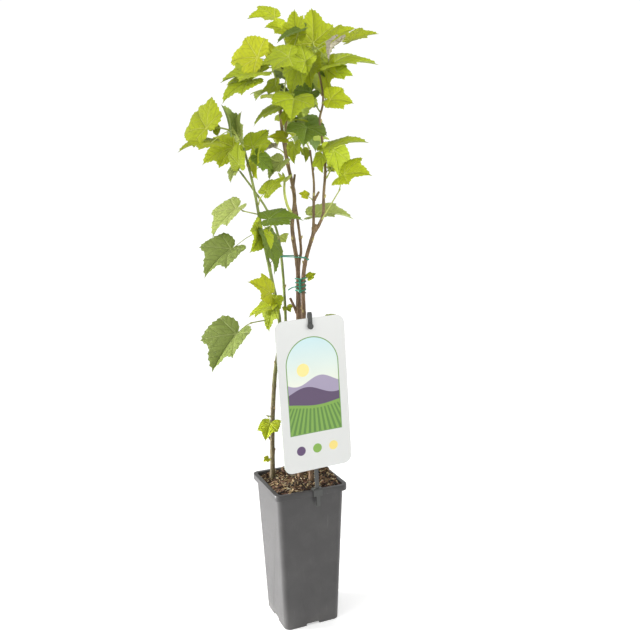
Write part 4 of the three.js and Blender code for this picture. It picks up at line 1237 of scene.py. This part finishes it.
def build_blades(name, members):
    """One mesh of many blades, with the vein places and a cell of its own for each face of each blade."""
    vertices, faces, shades, cells = [], [], [], []
    across = math.ceil(math.sqrt(2 * len(members)))
    for count, (seed, leaf) in enumerate(members):
        faces += [[corner + count * len(FLAT_PLACES) for corner in face] for face in BLADE_FACES]
        vertices.append(to_scene(blade_shape(leaf, seed)))
        shades += [np.random.default_rng(seed + SHADE_SEED).uniform(0, 1)] * len(BLADE_FACES)
        cell = 2 * count + UNDERSIDE[FACE_OF_LOOP]
        corner = np.stack([cell % across, cell // across], 1)
        cells.append((corner + 0.5 + (loop_places - CELL_MIDDLE) * CELL_SHARE) / across)
    piece = mesh_from(name, vertices, faces, shade=shades, underside=np.tile(UNDERSIDE, len(members)))
    for key, places in (("veins", np.tile(VEIN_PLACES, (len(members), 1))),
                        ("OFBake", np.concatenate(cells))):
        piece.data.uv_layers.new(name=key).data.foreach_set("uv", places.ravel())
    return piece


# Leaf tissue: paler veins that branch towards the rim, fine netting between them, and a duller underside.
# The blade's own places give the distance along and aside of the nearest main vein.
TISSUE_COLOURS = ("Blade", "Vein", "Under")
tissue, given, place = new_effect("leaf_tissue", TISSUE_COLOURS)


def below(tree, value, start, end):
    """1 below the start and 0 beyond the end, smooth between them."""
    return ranged(tree, value, start, end, 1.0, 0.0, interpolation_type="SMOOTHSTEP")


def either(tree, first, second, share):
    """The greater of a mask and a share of another."""
    return calc(tree, "MAXIMUM", first, calc(tree, "MULTIPLY", second, share))


veins = new_node(tissue, "UVMap", {}, uv_map="veins").outputs["UV"]
split = new_node(tissue, "SeparateXYZ", {"Vector": veins}).outputs
aside = calc(tissue, "ABSOLUTE", split["Y"])
main_vein = below(tissue, calc(tissue, "MULTIPLY_ADD", split["X"], 0.014, aside), 0.012, 0.026)
branching = calc(tissue, "MULTIPLY_ADD", aside, -BRANCH_LEAN, split["X"])
side_vein = below(tissue, calc(tissue, "PINGPONG", branching, BRANCH_STEP / 2), 0.003, 0.013)
netting = new_node(tissue, "TexVoronoi", {"Vector": place, "Scale": 480.0}, feature="DISTANCE_TO_EDGE")
net = below(tissue, netting.outputs["Distance"], 0.02, 0.2)
mottle = noise(tissue, place, 120.0, 4.0)
shade, underside = (new_node(tissue, "Attribute", {}, attribute_name=name).outputs["Fac"]
                    for name in ("shade", "underside"))
paleness = either(tissue, either(tissue, main_vein, side_vein, 0.55), net, 0.16)
veined = blend_colours(tissue, calc(tissue, "MULTIPLY", paleness, 0.9),
                       blend_colours(tissue, underside, given["Blade"], given["Under"]), given["Vein"])
bright = calc(tissue, "MULTIPLY_ADD", shade, 0.3, calc(tissue, "MULTIPLY_ADD", mottle, 0.4, 0.65))
dullness = calc(tissue, "MULTIPLY_ADD", underside, 0.2, calc(tissue, "MULTIPLY_ADD", mottle, 0.2, 0.38))
sunk = calc(tissue, "MULTIPLY", either(tissue, main_vein, side_vein, 0.7), -1.0)
relief = calc(tissue, "MULTIPLY_ADD", net, -0.25, calc(tissue, "MULTIPLY_ADD", mottle, 0.4, sunk))
end_effect(tissue, toned(tissue, veined, bright), dullness, relief)

# Each kind's blade, vein and underside. The green blades are set brighter than a leaf's own green, as painted
# light for the light that shines through the thin blades; the darkest kind is painted shade, a darker copy
# for leaves in shade.
LEAF_COLOURS = {
    "bright": ((0.395, 0.465, 0.008), (0.51, 0.555, 0.07), (0.385, 0.45, 0.04)),
    "yellow": ((0.45, 0.49, 0.010), (0.55, 0.57, 0.08), (0.42, 0.46, 0.05)),
    "olive": ((0.375, 0.46, 0.014), (0.48, 0.55, 0.08), (0.37, 0.45, 0.08)),
    "dark": ((0.15, 0.225, 0.018), (0.23, 0.32, 0.07), (0.21, 0.30, 0.09)),
    "dusky": ((0.25, 0.32, 0.07), (0.36, 0.43, 0.135), (0.29, 0.36, 0.13)),
    "pale": ((0.38, 0.455, 0.11), (0.50, 0.55, 0.18), (0.38, 0.45, 0.16)),
    "dried": ((0.60, 0.55, 0.43), (0.22, 0.15, 0.09), (0.54, 0.50, 0.39)),
}
TISSUE_RELIEF = 0.0009
mass_names = [name for name, *_ in masses]
for kind, colours in LEAF_COLOURS.items():
    members = [(seed, leaf) for seed, leaf in enumerate(leaves) if leaf["kind"] == kind]
    leaf_green = effect_material(f"leaf_{kind}", tissue, TISSUE_RELIEF, dict(zip(TISSUE_COLOURS, colours)),
                                 Specular_IOR_Level=0.18)
    finish_piece(build_blades(f"leaves_{kind}", members), leaf_green, "foliage", 60,
                 *(mass_names if kind == "bright" else ()))

# The ties: thin green coated cord, wound round two stems above the label and looped once round four of
# them higher up. The winding's ends are twisted together in front, and one stands off to the left.
CORD_RADIUS = 0.8
CORD_SIDES = 6
WINDING_TURNS = 4
WINDING_FOOT = 477.6
WINDING_RISE = 22
KNOT_PLACE = np.array([9.0, -12.6, 478.5])
KNOT_REACH = 1.05
KNOT_RISE = 19
KNOT_TURNS = 3
UP = np.array([0, 0, 1.0])
LOOSE_END = ((8, -12.6, 480), (2, -7, 485.5), (-3, -4, 484.5), (-8, -3, 481.5))
LOOSE_STEPS = 14
LOOP_SAG = 3.5
LOOP_HIGHEST = 160
cords = Bundle()


def add_cord(points):
    cords.add(*tube(np.array(points), CORD_RADIUS, CORD_SIDES))


def sagging_height(turn):
    return TIE_LOOP_HEIGHT + LOOP_SAG * math.cos(math.radians(turn - LOOP_HIGHEST))


wound = 360 * WINDING_TURNS
add_cord([cord_place(WOUND_STEMS, turn, WINDING_FOOT + WINDING_RISE * turn / wound, CORD_RADIUS)
          for turn in range(0, wound + 1, 10)])
twisted = 360 * KNOT_TURNS
for half_turn in (0, 180):
    add_cord([KNOT_PLACE + heading(turn + half_turn, 0) * KNOT_REACH + UP * KNOT_RISE * turn / twisted
              for turn in range(0, twisted + 1, 20)])
add_cord(curve_points(LOOSE_END, np.linspace(0, 1, LOOSE_STEPS)))
add_cord([cord_place(LOOPED_STEMS, turn, sagging_height(turn), CORD_RADIUS) for turn in range(0, 370, 8)])
tie_cord = worn_material("tie_cord", 0.0001, (0.012, 0.22, 0.13), (0.06, 0.30, 0.20), 0.0)
finish_piece(cords.build("green_ties"), tie_cord, "tie", 50, *ties)

# The label's holder: a strip of dark plastic clipped over the rim, with a hook and a button at its top.
# The CAD model's own shape is kept, with the moulded plastic on it.
holder_plastic = worn_material("holder_plastic", 0.0001, (0.055, 0.057, 0.053), (0.13, 0.13, 0.125), 0.0)
holder = frame["nodes"]["label_holder"]
holder.data.materials.clear()
holder.data.materials.append(holder_plastic)

# The label: a thin stiff card of printed film with round corners, a little bowed, punched at the top and
# hung on the holder's button.
LABEL_WIDTH = 0.100
LABEL_HEIGHT = 0.211
LABEL_CELLS = (30, 60)
LABEL_CORNER = 0.012
LABEL_THICK = 0.00072
LABEL_LEAN = math.radians(2.4)
LABEL_BOW = 0.0012
HOLE_RADIUS = 0.0026
HOLE_SIDES = 32
HOLE_LENGTH = 0.02
HOLE_BELOW_TOP = 0.011
HOLE_ACROSS = 0.0005
HOLE_HEIGHT = 0.438
low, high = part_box("label")
hole_place = Vector((HOLE_ACROSS, (low.y + high.y) / 2, HOLE_HEIGHT))
bpy.ops.mesh.primitive_grid_add(x_subdivisions=LABEL_CELLS[0], y_subdivisions=LABEL_CELLS[1], size=1,
                                rotation=(math.pi / 2, 0, 0))
bpy.context.object.scale = (LABEL_WIDTH, LABEL_HEIGHT, 1)
start_editing("label_card")
label = stop_editing()
half = np.array([LABEL_WIDTH / 2, LABEL_HEIGHT / 2])
corners = np.array([corner.co for corner in label.data.vertices])
corners[:, [0, 2]] = with_round_corners(corners[:, [0, 2]], half, LABEL_CORNER)
corners[:, 2] += HOLE_BELOW_TOP - LABEL_HEIGHT / 2
corners[:, 1] = -LABEL_BOW * (corners[:, 0] / half[0]) ** 2
label.data.vertices.foreach_set("co", corners.ravel())
apply_modifier(label, "SOLIDIFY", thickness=LABEL_THICK, offset=0)
bpy.ops.mesh.primitive_cylinder_add(vertices=HOLE_SIDES, radius=HOLE_RADIUS, depth=HOLE_LENGTH,
                                    rotation=(math.pi / 2, 0, 0))
cut_away(label, bpy.context.object)
label.data.transform(Matrix.Translation(hole_place) @ Matrix.Rotation(-LABEL_LEAN, 4, "Y"))

# Its print: an arched window with a low sun over plum hills and green rows, and three dots below it.
# Each hill is a wavy line, with its level, its swing, its waves' spacing and start, and its colour.
PAPER = (0.72, 0.73, 0.71)
BACK_PRINT = (0.42, 0.50, 0.36)
SKY_LOW = (0.93, 0.90, 0.72)
SKY_HIGH = (0.55, 0.76, 0.80)
SUN = (-0.014, 0.036, 0.009)
SUN_COLOUR = (0.95, 0.80, 0.30)
HILLS = ((0.020, 0.006, 90.0, 0.6, (0.38, 0.33, 0.46)), (0.006, 0.006, 75.0, 2.4, (0.10, 0.06, 0.13)),
         (-0.012, 0.003, 60.0, 4.4, (0.21, 0.40, 0.06)))
FURROWS = (-0.016, 0.003, 60.0, 4.4)
FURROW_COLOUR = (0.10, 0.24, 0.035)
FRAME_COLOUR = (0.16, 0.32, 0.07)
FRAME_WIDTH = 0.0013
ARCH_HALF = 0.037
ARCH_SPRING = 0.042
ARCH_FOOT = -0.052
DOTS = ((-0.024, (0.10, 0.05, 0.14)), (0, (0.22, 0.42, 0.06)), (0.024, (0.90, 0.72, 0.20)))
DOT_LEVEL = -0.076
DOT_RADIUS = 0.0065
SOFT = 0.0002
label_print, tree, shader = new_material("label_print", Roughness=0.3, Coat_Weight=0.3, Coat_Roughness=0.15)
place = object_place(tree)
centred = new_node(tree, "VectorMath", {0: place, 1: hole_place}, operation="SUBTRACT").outputs["Vector"]
spot = new_node(tree, "SeparateXYZ", {"Vector": mapped(tree, centred, Rotation=(0, LABEL_LEAN, 0))}).outputs
u, v = spot["X"], calc(tree, "ADD", spot["Z"], LABEL_HEIGHT / 2 - HOLE_BELOW_TOP)


def below_wave(level, swing, reach, phase):
    wave = calc(tree, "SINE", calc(tree, "MULTIPLY_ADD", u, reach, phase))
    return below(tree, calc(tree, "SUBTRACT", v, calc(tree, "MULTIPLY_ADD", wave, swing, level)), -SOFT, SOFT)


def in_disc(x, z, radius):
    across, up = (calc(tree, "POWER", calc(tree, "SUBTRACT", at, middle), 2.0)
                  for at, middle in ((u, x), (v, z)))
    return below(tree, calc(tree, "SQRT", calc(tree, "ADD", across, up)), radius - SOFT, radius + SOFT)


def in_arch(inner, outer, foot):
    above = calc(tree, "MAXIMUM", calc(tree, "SUBTRACT", v, ARCH_SPRING), 0.0)
    from_middle = calc(tree, "SQRT", calc(tree, "MULTIPLY_ADD", u, u, calc(tree, "MULTIPLY", above, above)))
    return calc(tree, "MULTIPLY", below(tree, from_middle, inner, outer), calc(tree, "GREATER_THAN", v, foot))


picture = blend_colours(tree, ranged(tree, v, -0.01, 0.085), SKY_LOW, SKY_HIGH)
picture = blend_colours(tree, in_disc(*SUN), picture, SUN_COLOUR)
for *line, colour in HILLS:
    picture = blend_colours(tree, below_wave(*line), picture, colour)
rows = calc(tree, "SINE", calc(tree, "DIVIDE", u, calc(tree, "MULTIPLY_ADD", v, -0.012, 0.0006)))
furrows = calc(tree, "MULTIPLY", below_wave(*FURROWS), below(tree, rows, -0.2, 0.2))
picture = blend_colours(tree, furrows, picture, FURROW_COLOUR)
framed = in_arch(ARCH_HALF + FRAME_WIDTH - SOFT / 2, ARCH_HALF + FRAME_WIDTH + SOFT, ARCH_FOOT - FRAME_WIDTH)
printed = blend_colours(tree, framed, PAPER, FRAME_COLOUR)
printed = blend_colours(tree, in_arch(ARCH_HALF - SOFT, ARCH_HALF + SOFT, ARCH_FOOT), printed, picture)
for x, colour in DOTS:
    printed = blend_colours(tree, in_disc(x, DOT_LEVEL, DOT_RADIUS), printed, colour)
facing = new_node(tree, "NewGeometry", {}).outputs["Normal"]
front = below(tree, new_node(tree, "SeparateXYZ", {"Vector": facing}).outputs["Y"], -0.6, -0.4)
printed = blend_colours(tree, front, BACK_PRINT, printed)
feed_shader(tree, shader, printed, noise(tree, place, 260.0, 2.0), 0.00006)
finish_piece(label, label_print, "label", 40, "label")
